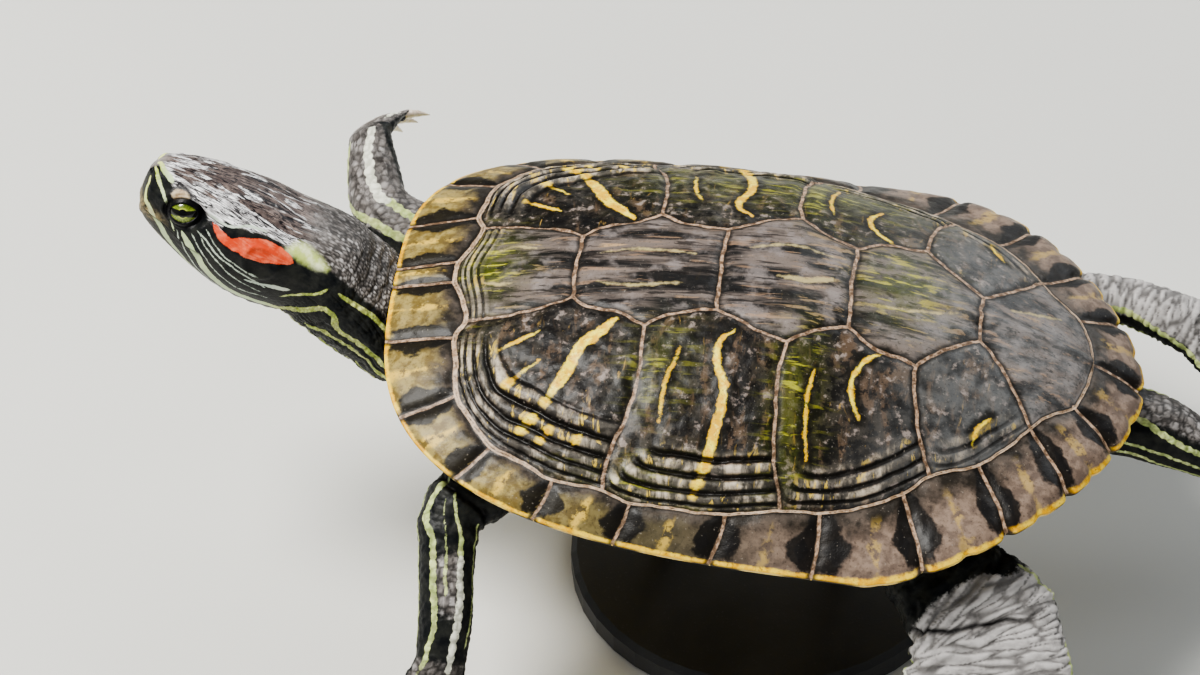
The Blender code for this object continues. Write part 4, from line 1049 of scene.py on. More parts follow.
    # neck: granular scales and transverse folds, slack skin by the shell
    neck = smooth(d, 40, 50)
    g1, g2, gtone = cells(base, 1.15, 21)
    grain = smooth(g2 - g1, 0.02, 0.34)
    disp += (0.17 * grain - 0.07) * neck
    warp = 1.1 * value_noise(base, 7.0, 31) + 0.5 * value_noise(base, 2.8, 32)
    arc = np.abs(fold) * 0.012
    fold_wave = np.abs(np.sin((d + 1.6 * warp) * math.pi / 3.6 + arc)) ** 0.7
    disp += (fold_wave - 0.6) * 0.36 * smooth(d, 44, 58)
    slack = np.sin((d + 2.2 * warp) * 2 * math.pi / 8.5)
    disp += 0.55 * slack * smooth(d, 66, 84) * (1 - smooth(d, 100, 112))
    lengthwise = np.abs(value_noise(np.column_stack([d * 0.16, fold * 0.27, np.sign(L) * 2.0]), 1.7, 41))
    disp -= 0.42 * np.clip(1 - lengthwise * 3.2, 0, 1) * smooth(d, 42, 54) * smooth(-top, 0.0, 2.0)
    # throat folds under the jaw
    throat = smooth(-fold, 45, 75) * smooth(d, 22, 34)
    disp += 0.22 * np.sin(d * 2 * math.pi / 4.2 + 1.4 * warp) * throat * (1 - smooth(d, 50, 60))
    disp += 0.03 * fractal(base, 1.2, 2, 51)
    disp += 0.10 * smooth(stripe, -0.3, 0.3) * neck
    # painted shade: the grooves between neck scales and folds, with the lid crease and crown wrinkles, are darkened in
    # the colour
    groove = np.maximum(1 - grain, 1 - smooth(fold_wave, 0.1, 0.5)) * neck
    out = base + N * (disp - 0.10)[:, None]
    out, crease, lid = open_eyes(out, None)
    tip = out[:HEAD_AROUND].mean(0)
    P = np.vstack([out, tip, rings[-1].mean(0)])
    tail = lambda a, b=0.0: np.concatenate([a, [a[0], b]])
    faces = tube_faces(n_rings, HEAD_AROUND, len(P) - 2, len(P) - 1)
    n = mesh_normals(P, faces[:1])
    if np.mean(np.sum((rings - centre).reshape(-1, 3) * n[:-2], axis=1)) < 0:
        faces = [f[:, ::-1] for f in faces]
    attrs = dict(
        stripe=tail(stripe), red=tail(red), lime=tail(lime), top=tail(top),
        crown=tail(face * smooth(d, 1.0, 5.0)), hu=tail(d), hv=tail(fold * 0.27 * np.where(L >= 0, 1, 1)),
        belly=tail(smooth(-fold, 52, 78)), beak=tail(np.clip(beak, 0, 1)), dark=tail(dark),
        brow=tail(lid_patch), white=tail(pale + 0.3), painted_sunlight=tail(np.zeros(len(base))),
        lid=tail(lid), groove=tail(np.clip(np.maximum(groove, np.maximum(crease, line_w)), 0, 1)),
        grain=tail(grain * neck), tone=tail(np.where(neck > 0.5, gtone, tone)), limb=tail(np.zeros(len(base))))
    return P, faces, attrs


def skin_material():
    g = Graph("reptile_skin")
    stripe, red, lime, top = g.attr("stripe"), g.attr("red"), g.attr("lime"), g.attr("top")
    crown, belly, beak, dark = g.attr("crown"), g.attr("belly"), g.attr("beak"), g.attr("dark")
    groove, grain, tone, lid, limb = g.attr("groove"), g.attr("grain"), g.attr("tone"), g.attr("lid"), g.attr("limb")
    hu, hv = g.attr("hu"), g.attr("hv")
    n_big, n_mid = g.noise(14, 3, 0.5), g.noise(4.2, 4, 0.6)
    n_fine, n_speck = g.noise(1.1, 4, 0.6), g.noise(0.45, 3, 0.6)
    # streaks that follow the length of the head
    comb = g.node("ShaderNodeCombineXYZ")
    g.put(comb.inputs[0], g.math('MULTIPLY', hu, 0.22))
    g.put(comb.inputs[1], hv)
    flow = g.node("ShaderNodeTexNoise")
    g.put(flow.inputs["Vector"], comb.outputs[0])
    flow.inputs["Scale"].default_value = 0.75
    flow.inputs["Detail"].default_value = 5.0
    flow.inputs["Roughness"].default_value = 0.68
    flow.inputs["Distortion"].default_value = 0.6
    flow = flow.outputs["Fac"]
    col = g.mix(g.ramp(n_mid, 0.36, 0.68), (0.006, 0.007, 0.008), (0.022, 0.023, 0.020))
    # yellowish ground under jaw and throat
    under = g.math('MULTIPLY', belly, g.ramp(n_mid, 0.44, 0.62))
    col = g.mix(g.math('MULTIPLY', under, 0.75), col, (0.30, 0.235, 0.060))
    # grey-brown upper skin with a pale grain
    grey = g.mix(g.ramp(n_mid, 0.35, 0.66), (0.070, 0.062, 0.058), (0.240, 0.220, 0.208))
    grey = g.mix(g.math('MULTIPLY', g.ramp(flow, 0.50, 0.62), 0.45), grey, (0.400, 0.375, 0.360))
    grey = g.mix(g.math('MULTIPLY', g.math('MULTIPLY', g.ramp(tone, 0.30, 1.0), grain), 0.85), grey, (0.500, 0.480, 0.470))
    grey = g.mix(g.math('MULTIPLY', g.ramp(n_big, 0.50, 0.38), 0.45), grey, (0.060, 0.054, 0.052))
    grey = g.mix(g.math('MULTIPLY', g.ramp(g.attr("white"), 0.4, 2.2), g.math('MULTIPLY', limb, 0.60)), grey, (0.520, 0.455, 0.405))
    # painted sunlight: the hind legs are painted pale grey-white where sun and sky reflection fall on them, over their
    # own grey; their creases are darkened less
    painted_sunlight = g.attr("painted_sunlight")
    grey = g.mix(g.math('MULTIPLY', painted_sunlight, g.ramp(n_mid, 0.30, 0.60, 0.45, 0.85)), grey, (0.640, 0.620, 0.610))
    # painted shade: skin grooves and creases go near black
    grey = g.mix(g.math('MULTIPLY', groove, g.math('MULTIPLY_ADD', painted_sunlight, -0.26, 0.86)), grey, (0.012, 0.011, 0.010))
    top_w = g.math('ADD', top, g.math('MULTIPLY', g.math('SUBTRACT', n_fine, 0.5), 2.6))
    top_w = g.math('ADD', top_w, g.math('MULTIPLY', g.math('SUBTRACT', n_mid, 0.5), 2.0))
    col = g.mix(g.ramp(top_w, -0.7, 0.7), col, grey)
    # crown: bold white patches, painted highlights of glare on the wet skin, on mauve brown, with long black lines
    def along_head(scale_u, scale_v, detail, distortion):
        c = g.node("ShaderNodeCombineXYZ")
        g.put(c.inputs[0], g.math('MULTIPLY', hu, scale_u))
        g.put(c.inputs[1], g.math('MULTIPLY', hv, scale_v))
        n = g.node("ShaderNodeTexNoise")
        g.put(n.inputs["Vector"], c.outputs[0])
        n.inputs["Scale"].default_value = 1.0
        n.inputs["Detail"].default_value = detail
        n.inputs["Roughness"].default_value = 0.55
        n.inputs["Distortion"].default_value = distortion
        return n.outputs["Fac"]
    patch = along_head(0.070, 0.24, 3.0, 0.9)
    lines = along_head(0.095, 0.52, 2.0, 1.1)
    thin = along_head(0.210, 1.35, 2.0, 0.9)
    middle = g.ramp(hv, 14.5, 20.5)
    # the middle of the crown stays brown; the painted glare is nearly white on the band over the red patch
    glare_w = g.math('SUBTRACT', g.math('ADD', patch, g.math('MULTIPLY', g.ramp(top, 6.5, 1.0), 0.12)),
                     g.math('MULTIPLY', g.math('MULTIPLY', middle, g.ramp(hu, 10, 18)), 0.085))
    brown = g.mix(g.ramp(n_mid, 0.36, 0.66), (0.078, 0.058, 0.054), (0.230, 0.180, 0.160))
    painted_glare = g.mix(g.ramp(flow, 0.40, 0.58), (0.400, 0.385, 0.390), (0.950, 0.950, 0.955))
    pale = g.mix(g.ramp(glare_w, 0.455, 0.505), brown, painted_glare)
    pale = g.mix(g.math('MULTIPLY', g.ramp(flow, 0.40, 0.33), 0.50), pale, (0.030, 0.025, 0.027))
    broken = g.ramp(n_mid, 0.42, 0.52)
    pale = g.mix(g.math('MULTIPLY', g.math('MULTIPLY', g.ramp(g.math('ABSOLUTE', g.math('SUBTRACT', thin, 0.5)), 0.052, 0.022), broken), 0.90), pale, (0.012, 0.010, 0.012))
    pale = g.mix(g.math('MULTIPLY', g.ramp(g.math('ABSOLUTE', g.math('SUBTRACT', lines, 0.5)), 0.050, 0.026), g.ramp(n_mid, 0.60, 0.48, 0.35, 0.97)), pale, (0.008, 0.007, 0.009))
    # painted shade in the crown's grooves
    pale = g.mix(g.math('MULTIPLY', groove, 0.30), pale, (0.020, 0.017, 0.018))
    top_n = g.math('ADD', top, g.math('MULTIPLY', g.math('SUBTRACT', flow, 0.5), 3.0))
    col = g.mix(g.math('MULTIPLY', crown, g.ramp(top_n, -0.5, 0.35)), col, pale)
    # the brow over the eye is pinkish tan inside a black outline
    b_w = g.math('ADD', g.attr("brow"), g.math('MULTIPLY', g.math('SUBTRACT', n_fine, 0.5), 0.9))
    col = g.mix(g.math('MULTIPLY', g.ramp(b_w, -1.0, -0.55), 0.80), col, (0.010, 0.009, 0.009))
    col = g.mix(g.math('MULTIPLY', g.ramp(b_w, -0.35, 0.05), 0.94), col,
                g.mix(g.ramp(n_mid, 0.40, 0.62), (0.220, 0.135, 0.070), (0.540, 0.440, 0.290)))
    # yellow-green stripes with beaded edges
    wob = g.math('ADD', g.math('MULTIPLY', g.math('SUBTRACT', n_fine, 0.5), 0.55),
                 g.math('MULTIPLY', g.math('SUBTRACT', n_speck, 0.5), 0.35))
    s_w = g.math('ADD', stripe, wob)
    s_col = g.mix(g.ramp(n_mid, 0.36, 0.64), (0.370, 0.460, 0.085), (0.660, 0.700, 0.270))
    s_col = g.mix(g.math('MULTIPLY', g.ramp(n_fine, 0.52, 0.70), 0.5), s_col, (0.76, 0.80, 0.50))
    s_col = g.mix(g.math('MAXIMUM', g.math('MULTIPLY', crown, 0.72), g.math('MULTIPLY', limb, 0.30)), s_col, (0.500, 0.610, 0.420))
    hairline = g.mix(crown, (0.80, 0.80, 0.72), (0.520, 0.590, 0.520))
    s_col = g.mix(g.math('MULTIPLY', g.ramp(g.math('ADD', g.attr("white"), wob), -0.5, 0.1), 0.88), s_col, hairline)
    # painted shade in the stripes' grooves
    s_col = g.mix(g.math('MULTIPLY', groove, 0.55), s_col, (0.060, 0.065, 0.022))
    col = g.mix(g.ramp(s_w, -0.14, 0.12), col, s_col)
    l_w = g.math('ADD', lime, g.math('MULTIPLY', wob, 2.0))
    col = g.mix(g.math('MULTIPLY', g.ramp(l_w, -1.6, 0.9), 0.92), col,
                g.mix(g.ramp(n_mid, 0.4, 0.62), (0.50, 0.60, 0.17), (0.74, 0.79, 0.50)))
    r_w = g.math('ADD', red, g.math('ADD', g.math('MULTIPLY', wob, 0.9), g.math('MULTIPLY', g.math('SUBTRACT', n_mid, 0.5), 1.2)))
    r_col = g.mix(g.ramp(n_mid, 0.38, 0.64), (0.560, 0.060, 0.022), (0.740, 0.155, 0.075))
    r_col = g.mix(g.math('MULTIPLY', g.ramp(flow, 0.50, 0.66), 0.35), r_col, (0.82, 0.30, 0.19))
    col = g.mix(g.ramp(r_w, -0.15, 0.15), col, r_col)
    # horn of the beak
    b_col = g.mix(g.ramp(n_mid, 0.4, 0.62), (0.200, 0.140, 0.060), (0.430, 0.345, 0.180))
    col = g.mix(g.math('MULTIPLY', g.math('MULTIPLY', beak, g.ramp(n_fine, 0.30, 0.62)), 0.70), col, b_col)
    # lids are black with a few pale scales
    l_col = g.mix(g.ramp(n_fine, 0.62, 0.74), (0.005, 0.005, 0.006), (0.080, 0.078, 0.046))
    col = g.mix(g.math('MAXIMUM', g.math('MULTIPLY', lid, g.ramp(top, 0.6, -0.4)), g.ramp(lid, 0.955, 0.995)), col, l_col)
    # painted shade: mouth line, nostrils and deep limb folds go near black
    col = g.mix(dark, col, (0.004, 0.003, 0.003))
    height = g.math('ADD', g.math('MULTIPLY', n_speck, 0.6), g.math('MULTIPLY', g.noise(0.28, 2, 0.6), 0.4))
    nor = g.bump(height, 0.35, 0.00035)
    rough = g.math('ADD', g.math('MULTIPLY', n_mid, 0.26), g.math('MULTIPLY_ADD', grain, 0.16, 0.24))
    return g.finish(col, rough, nor, Coat_Weight=0.03, Coat_Roughness=0.22, IOR=1.38, Specular_IOR_Level=0.22)


def eye_material():
    g = Graph("eye_cornea")
    er, ep, eq = g.attr("er"), g.attr("ep"), g.attr("eq")
    n_mid, n_fine = g.noise(0.9, 4, 0.6), g.noise(0.32, 3, 0.6)
    angle = g.math('ARCTAN2', eq, ep)
    comb = g.node("ShaderNodeCombineXYZ")
    g.put(comb.inputs[0], g.math('MULTIPLY', angle, 9.0))
    g.put(comb.inputs[1], g.math('MULTIPLY', er, 0.6))
    rays = g.node("ShaderNodeTexNoise")
    g.put(rays.inputs["Vector"], comb.outputs[0])
    rays.inputs["Scale"].default_value = 1.0
    rays.inputs["Detail"].default_value = 4.0
    rays = rays.outputs["Fac"]
    iris = g.mix(g.ramp(rays, 0.35, 0.66), (0.095, 0.145, 0.012), (0.270, 0.345, 0.045))
    iris = g.mix(g.ramp(er, 1.75, 1.1), iris, (0.520, 0.590, 0.090))
    iris = g.mix(g.math('MULTIPLY', g.ramp(n_mid, 0.56, 0.72), 0.5), iris, (0.075, 0.120, 0.010))
    # the upper part lies in the shade of the brow
    iris = g.mix(g.ramp(eq, 0.6, 2.4, 0.0, 0.82), iris, (0.045, 0.070, 0.008))
    w = g.math('MULTIPLY', g.math('SUBTRACT', n_fine, 0.5), 0.35)
    # dark bar through the pupil, wider to the corners
    bar = g.math('SUBTRACT', g.math('ABSOLUTE', eq), g.math('MULTIPLY_ADD', er, 0.05, 0.74))
    col = g.mix(g.ramp(g.math('ADD', bar, w), 0.14, -0.10), iris, (0.006, 0.006, 0.005))
    col = g.mix(g.ramp(g.math('ADD', er, w), 3.9, 4.25), col, (0.010, 0.010, 0.010))
    col = g.mix(g.ramp(er, 1.22, 1.08), col, (0.002, 0.002, 0.002))
    return g.finish(col, 0.22, None, Coat_Weight=1.0, Coat_Roughness=0.03, IOR=1.4)


def eyes(mat):
    around, count = 96, 60
    for side, name in ((1, "left"), (-1, "right")):
        centre, axis, along, up = eye_frame(side)
        th = np.linspace(0.012, math.radians(148), count)
        a = np.arange(around) * 2 * math.pi / around
        T, A = np.repeat(th, around), np.tile(a, count)
        R = EYE_RADIUS * (1.0 + 0.035 * bump(T, 0.0, 0.42)) * 0.995
        p, q, o = R * np.sin(T) * np.cos(A), R * np.sin(T) * np.sin(A), R * np.cos(T)
        P = centre + p[:, None] * along + q[:, None] * up + o[:, None] * axis
        P = np.vstack([P, centre + axis * EYE_RADIUS * 1.035 * 0.995, P[-around:].mean(0)])
        er = EYE_RADIUS * np.concatenate([T, [0, math.pi]])
        ep, eq = np.concatenate([p, [0, 0]]), np.concatenate([q, [0, 0]])
        faces = tube_faces(count, around, len(P) - 2, len(P) - 1)
        n = mesh_normals(P, faces[:1])
        if np.mean(np.sum((P - centre) * n, axis=1)) < 0:
            faces = [f[:, ::-1] for f in faces]
        ob = make_object(f"eyeball_{name}", P, faces, mat, dict(er=er, ep=ep, eq=eq))
        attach(ob, "root")
        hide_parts(f"eye_{name}")


# ---------------------------------------------------------------- limbs and tail
GAP = 0.25
# joints of each leg: x, y, z, half width, half height
FORE_LEFT = ((-50, -24, -20, 11, 10.5), (-64, -42, -20.5, 10.6, 9.8), (-75, -56, -25, 8.6, 8.2),
             (-74.6, -67, -33, 7.4, 7.6), (-73, -76.5, -42, 7.2, 7.4), (-72.6, -85, -50, 6.6, 5.2))
FORE_RIGHT = ((-50, 24, -19, 11, 10), (-72, 33, -18.5, 11, 9.5), (-93, 38, -17, 10, 8.6),
              (-109, 44.4, -13.4, 8.2, 7.8), (-113, 54.5, -9.5, 7.2, 7.0), (-115.8, 64, -4.8, 6.2, 5.2))
HIND_LEFT = ((42, -22, -20, 13, 11), (46, -40, -21, 13, 10.8), (50.5, -53.5, -23.4, 13, 10.2),
             (60.5, -60.5, -27.0, 18.6, 9.4), (66.8, -67, -30.8, 21, 7.6))
HIND_RIGHT = ((44, 22, -19, 12.5, 10), (68, 42, -17.5, 11.5, 9.2), (84, 50, -16.5, 8.0, 7.2),
              (95.5, 51, -15.4, 6.6, 6.2), (106, 48.8, -16, 7.2, 6.6), (116, 46.8, -18.2, 8.6, 5.8))
TAIL = ((70, 2, -15, 10.5, 10), (90, 1.8, -12.8, 10, 9.2), (100, 1.5, -12.8, 9.8, 9.0),
        (108, 1.2, -14.6, 9.3, 8.8), (118, 0, -17.8, 7.4, 7.1), (129, -1.2, -22, 5.8, 5.6),
        (140, -2, -26.4, 3.7, 3.7), (151, -2.6, -30.5, 1.4, 1.4))
FORE_TOES = ((-36, 12.0), (-18, 14.5), (0, 15.5), (18, 14.5), (36, 12.5))
CLOSED_TOES = ((-27, 11.5), (-13, 13.5), (0, 14.5), (12, 13.5), (24, 12.0))
HIND_TOES = ((-40, 21.0), (-20, 25.0), (0, 27.0), (20, 25.0), (40, 20.0))
FORE_PALM, FORE_CLAW = (12.0, 6.4, 10.0, 4.4, 1.4), (9.5, 1.4, 1.6, 2.0)
HIND_PALM, HIND_CLAW = (18.0, 9.6, 18.0, 5.0, 1.3), (7.0, 1.4, 1.2, 2.5)
BROAD_PALM = (18.0, 21.0, 22.5, 7.0, 1.4)
# name, joints, upper side at root, foot's forward and spread, palm, toes, web, claw, clawed toes
LEGS = (
    ("fore_left", FORE_LEFT, (0.2, -0.3, 1), (-0.16, -0.68, -0.72), (-1.0, 0.12, 0.1),
     FORE_PALM, FORE_TOES, 5.0, FORE_CLAW, (0, 1, 2, 3, 4)),
    ("fore_right", FORE_RIGHT, (0.2, 0.2, 1), (0.12, 0.84, -0.52), (0.76, 0.26, 0.56),
     FORE_PALM, CLOSED_TOES, 5.0, FORE_CLAW, (0, 1, 2, 3, 4)),
    ("hind_left", HIND_LEFT, (0.1, -0.3, 1), (0.16, -0.80, -0.58), (-1.0, -0.1, -0.12),
     BROAD_PALM, HIND_TOES, 10.0, HIND_CLAW, (1, 2, 3, 4)),
    ("hind_right", HIND_RIGHT, (0.2, 0.2, 1), (0.93, -0.12, -0.34), (-0.12, -0.92, -0.30),
     HIND_PALM, HIND_TOES, 10.0, HIND_CLAW, (0, 1, 2, 3)),
)


def foot_axes(forward, spread):
    fwd = unit(forward)
    side = unit(np.asarray(spread, float) - np.dot(spread, fwd) * fwd)
    return fwd, side, np.cross(side, fwd)


def rings_along(rows, up, around, power, up_end=None):
    """Rings across a limb, with the frame each was drawn in."""
    tangents = unit(np.gradient(rows[:, :3], axis=0))
    u = np.linspace(0, 1, len(rows))[:, None]
    ref = np.asarray(up, float) if up_end is None else unit(up) * (1 - u) + unit(up_end) * u
    side = unit(np.cross(tangents, ref))
    lift = np.cross(side, tangents)
    a = np.arange(around) * 2 * math.pi / around
    c, s = np.cos(a), np.sin(a)
    ca = np.sign(c) * np.abs(c) ** (2 / power)
    sa = np.sign(s) * np.abs(s) ** (2 / power)
    rings = (rows[:, None, :3] + side[:, None] * (ca[None, :, None] * rows[:, None, 3:4])
             + lift[:, None] * (sa[None, :, None] * rows[:, None, 4:5]))
    return rings, side, lift


def leg_parts(leg, around=44, count=70):
    """Leg, palm and toe tubes of one limb, its centre line with frames, and the toe ends."""
    name, table, up, forward, spread, palm, toes, web, claw, clawed = leg
    fwd, side, nor = foot_axes(forward, spread)
    rows = smooth_table(table, count)
    rings, s_axis, l_axis = rings_along(rows, up, around, 2.2, nor)
    end_dir = unit(rows[-1, :3] - rows[-2, :3])
    tubes = [rings]
    start = rings[-1].mean(axis=0) + end_dir * GAP
    length, half0, half1, thick0, thick1 = palm
    reach = length + web
    a = np.arange(around) * 2 * math.pi / around
    c, s = np.cos(a), np.sin(a)
    ca = np.sign(c) * np.abs(c) ** 0.8
    keys = [rings[-1] - end_dir * 0.6]
    line = []
    for u in (0.30, 0.55, 0.8, 0.94, 1.0):
        half = half0 + (half1 - half0) * (u ** 0.8)
        th = thick0 + (thick1 - thick0) * min(1.0, u * 1.35)
        if u == 1.0:
            th *= 0.55
        across = half * ca
        # webbing is drawn in between the toes
        scallop = 0.07 * np.abs(np.sin(across / half * math.pi * 2.1)) if u > 0.75 else 0.0
        back = (0.16 * (across / half) ** 2 + scallop) * u * reach
        keys.append(start + fwd * (u * reach - back)[:, None] + side * across[:, None] + nor * (th * s)[:, None])
    keys = np.array(keys)
    knots = np.array([0.0, 0.30, 0.55, 0.8, 0.94, 1.0])
    tubes.append(hermite(keys, knots, np.linspace(0, 1, 30)))
    tips = []
    for angle, toe_length in toes:
        t = math.radians(angle)
        d = unit(fwd * math.cos(t) + side * math.sin(t))
        root = start + fwd * length * 0.62 + side * math.sin(t) * half1 * 0.42 + nor * thick1 * 0.25
        u = np.linspace(0, 1, 26)
        path = root + d * (toe_length * u)[:, None] - nor * (0.10 * toe_length * u * u)[:, None]
        r = claw[3] * (1 - 0.28 * u) * (1 + 0.10 * np.cos(u * toe_length * 2 * math.pi / 5.2)) * 0.97
        r = r * np.sqrt(np.clip((1.02 - u) * 9.0, 0.15, 1.0))
        toe, _, _ = rings_along(np.column_stack([path, r, r * 0.92]), nor, 16, 2.0)
        tubes.append(toe)
        end = path[-1]
        tips.append((end, unit(path[-1] - path[-4]), nor))
    # centre line through leg and foot with frames
    toe_reach = length * 0.62 + max(t[1] for t in toes)
    du = np.linspace(0.0, toe_reach, 24)[1:]
    C = np.vstack([rows[:, :3], start + fwd * du[:, None]])
    S = np.concatenate([[0], np.cumsum(np.linalg.norm(np.diff(C, axis=0), axis=1))])
    SIDE = np.vstack([s_axis, np.tile(side * np.sign(np.dot(side, s_axis[-1])), (len(du), 1))])
    LIFT = np.vstack([l_axis, np.tile(nor * np.sign(np.dot(nor, l_axis[-1])), (len(du), 1))])
    RW = np.concatenate([rows[:, 3], half0 + (half1 - half0) * np.clip(du / reach, 0, 1) ** 0.8])
    RH = np.concatenate([rows[:, 4], thick0 + (thick1 - thick0) * np.clip(du / reach * 1.35, 0, 1) + 0.8])
    return tubes, (C, S, SIDE, LIFT, RW, RH, rows), tips


def on_limb(frame_rows, points, power=2.2):
    """Points of a limb's surface given (distance along, degrees round)."""
    C, S, SIDE, LIFT, RW, RH, _ = frame_rows
    p = np.asarray(points, float)
    pick = lambda A: np.stack([np.interp(p[:, 0], S, A[:, k]) for k in range(3)], -1)
    a = np.radians(p[:, 1])
    c, s = np.cos(a), np.sin(a)
    ca = (np.sign(c) * np.abs(c) ** (2 / power) * np.interp(p[:, 0], S, RW))[:, None]
    sa = (np.sign(s) * np.abs(s) ** (2 / power) * np.interp(p[:, 0], S, RH))[:, None]
    return pick(C) + unit(pick(SIDE)) * ca + unit(pick(LIFT)) * sa


# stripes of the limbs: distance along (mm), degrees round, width (mm)
LIMB_STRIPES = {
    "fore_left": (
        ((36, 50, 1.5), (40, 45, 2.1), (43.5, 38, 2.4), (48.8, 58, 1.9), (56.8, 63, 2.0), (64.4, 68, 1.9),
         (71.6, 70, 1.5), (78, 60, 1.6), (88, 46, 1.1)),
        ((38, 76, 0.8), (42, 94, 0.9), (46.8, 108, 1.1), (51.6, 115, 1.6), (60.4, 120, 2.2), (69.6, 117, 2.3),
         (77.6, 114, 2.0), (88, 108, 1.3)),
        ((40, 70, 0.4), (48.8, 86, 0.5), (56, 89, 0.9), (63, 90, 0.8)),
        ((42, 148, 0.8), (54, 158, 0.9), (66, 160, 0.9), (76, 150, 0.8)),
        ((38, 2, 1.1), (52, 6, 1.3), (66, 12, 1.2), (78, 4, 1.0)),
        ((36, -60, 1.6), (52, -66, 1.8), (70, -70, 1.6)),
        ((36, -118, 1.4), (52, -112, 1.6), (70, -112, 1.3))),
    "fore_right": (
        ((44, 138, 2.2), (56, 126, 2.6), (62, 104, 3.0), (66.8, 82, 3.0), (73.6, 70, 2.9), (79.2, 57, 2.6),
         (86, 36, 2.0), (96, 20, 1.4)),
        ((40, 172, 2.2), (55.2, 174, 2.6), (62, 166, 2.4), (68, 158, 2.0), (76, 132, 1.8), (84, 110, 1.5)),
        ((40, -60, 1.5), (60, -66, 1.8), (80, -70, 1.6)),
        ((40, -118, 1.4), (60, -112, 1.6), (80, -112, 1.3))),
    "hind_left": (
        ((46, 150, 1.4), (52, 168, 1.6), (60, 176, 1.6), (70, 178, 1.5), (84, 178, 1.2)),
        ((50, 2, 1.4), (58, 1, 1.8), (70, 1, 1.8), (84, 2, 1.4)),
        ((30, -70, 1.6), (46, -74, 2.2), (60, -80, 2.0)),
        ((30, -112, 1.6), (46, -108, 2.0), (60, -104, 1.8))),
    "hind_right": (
        ((46, 44, 1.4), (55, 38, 1.8), (61.2, 31, 2.0), (69.2, 14, 1.9), (78.4, 11, 1.8), (88, 10, 1.7), (104, 4, 1.4)),
        ((50, -22, 1.2), (64, -30, 1.4), (80, -34, 1.3)),
        ((50, -80, 1.6), (66, -84, 1.8), (84, -84, 1.6)),
        ((50, -140, 1.4), (66, -144, 1.6), (84, -144, 1.4))),
    "tail": (
        ((18, 62, 1.6), (30, 53, 1.9), (34.8, 42, 1.8), (42, 33, 1.7), (56, 34, 1.2), (76, 34, 0.7)),
        ((22, 10, 0.8), (34, 4, 1.0), (50, 2, 0.9), (72, 2, 0.5)),
        ((20, -18, 1.2), (30, -14, 1.4), (40, -24, 1.3), (56, -30, 1.0)),
        ((18, 118, 1.6), (30, 127, 1.9), (42, 147, 1.7), (56, 146, 1.2), (76, 146, 0.7)),
        ((22, 170, 0.8), (34, 176, 1.0), (50, 178, 0.9)),
        ((20, 198, 1.2), (30, 194, 1.4), (40, 204, 1.3), (56, 210, 1.0)),
        ((18, -90, 2.0), (30, -90, 2.0), (50, -90, 1.4))),
}
# stripes that turn whitish, and where along the limb (mm)
PALE_STRIPES = {("fore_left", 1): (50, 58), ("fore_right", 0): (58, 66), ("hind_left", 1): (60, 70)}
LIMB_FOLDS = {
    "hind_left": (((40, 20, 1), (44, 40, 1), (52, 74, 1), (56, 110, 1), (56, 140, 1)),),
    "fore_left": (((37, 30, 1), (38, 90, 1), (37, 150, 1)),),
}


def plastron_half_width(x):
    front = PLASTRON_FRONT + 40
    lobe = np.where(x < front, 45.0 * np.maximum(0.0, 1 - (np.maximum(front - x, 0) / 40.0) ** 2.6) ** 0.5, 45.0)
    rear = PLASTRON_REAR - 52
    lobe2 = np.where(x > rear, 42.0 * np.maximum(0.0, 1 - (np.maximum(x - rear, 0) / 52.0) ** 2.0) ** 0.6, 42.0)
    lobe = np.minimum(lobe, lobe2)
    step = np.clip(np.minimum(x - BRIDGE_FRONT, BRIDGE_REAR - x) / 9.0, 0, 1)
    return np.maximum(lobe, lobe + (67.5 - lobe) * step * step * (3 - 2 * step))


def plastron_ends(x):
    return 3.0 * np.maximum(0.0, (-62.0 - x) / 26.0) ** 2 + 3.0 * np.maximum(0.0, (x - 44.0) / 38.0) ** 2


def plastron_low(x, y):
    ay = np.abs(y)
    rise = np.where(ay > 43.0, 22.5 * (np.maximum(ay - 43.0, 0) / 24.5) ** 1.25, 0.0)
    return PLASTRON_Z + rise + plastron_ends(x) + 0.6 * (ay / 45.0) ** 2


def trunk_rings():
    around, xs = 64, np.linspace(-78.6, 80.6, 54)
    phi = np.arange(around) * 2 * math.pi / around
    rings = []
    for x in xs:
        w = 50.0 * max(0.0, 1 - (abs(x - 4.0) / 84.0) ** 2.6) ** 0.5 + 1.8
        y = w * np.cos(phi)
        s = np.abs(np.sin(phi)) ** 0.62
        t, rho = polar(np.full(around, x), y)
        roof = np.minimum(dome(t, np.minimum(rho, 1.0))[:, 2] - SHELL_THICK - 2.4, 19.8)
        floor = PLASTRON_Z + PLASTRON_THICK + 1.5 + plastron_ends(x)
        z = np.where(np.sin(phi) >= 0, -12.0 + (roof + 12.0) * s, -12.0 + (floor + 12.0) * s)
        rings.append(np.column_stack([np.full(around, x), y, z]))
    return np.array(rings)


def joined(tubes):
    """Closed tubes as one loose mesh: points and faces."""
    P, F, base = [], [], 0
    for rings in tubes:
        n, around = rings.shape[:2]
        p = np.vstack([rings.reshape(-1, 3), rings[0].mean(0), rings[-1].mean(0)])
        faces = tube_faces(n, around, len(p) - 2, len(p) - 1)
        normals = mesh_normals(p, faces[:1])
        centre = rings.mean(axis=1, keepdims=True)
        if np.mean(np.sum((rings - centre).reshape(-1, 3) * normals[:-2], axis=1)) < 0:
            faces = [f[:, ::-1] for f in faces]
        P.append(p)
        F.extend((f + base).tolist() for f in faces)
        base += len(p)
    return np.vstack(P), [f for block in F for f in block]


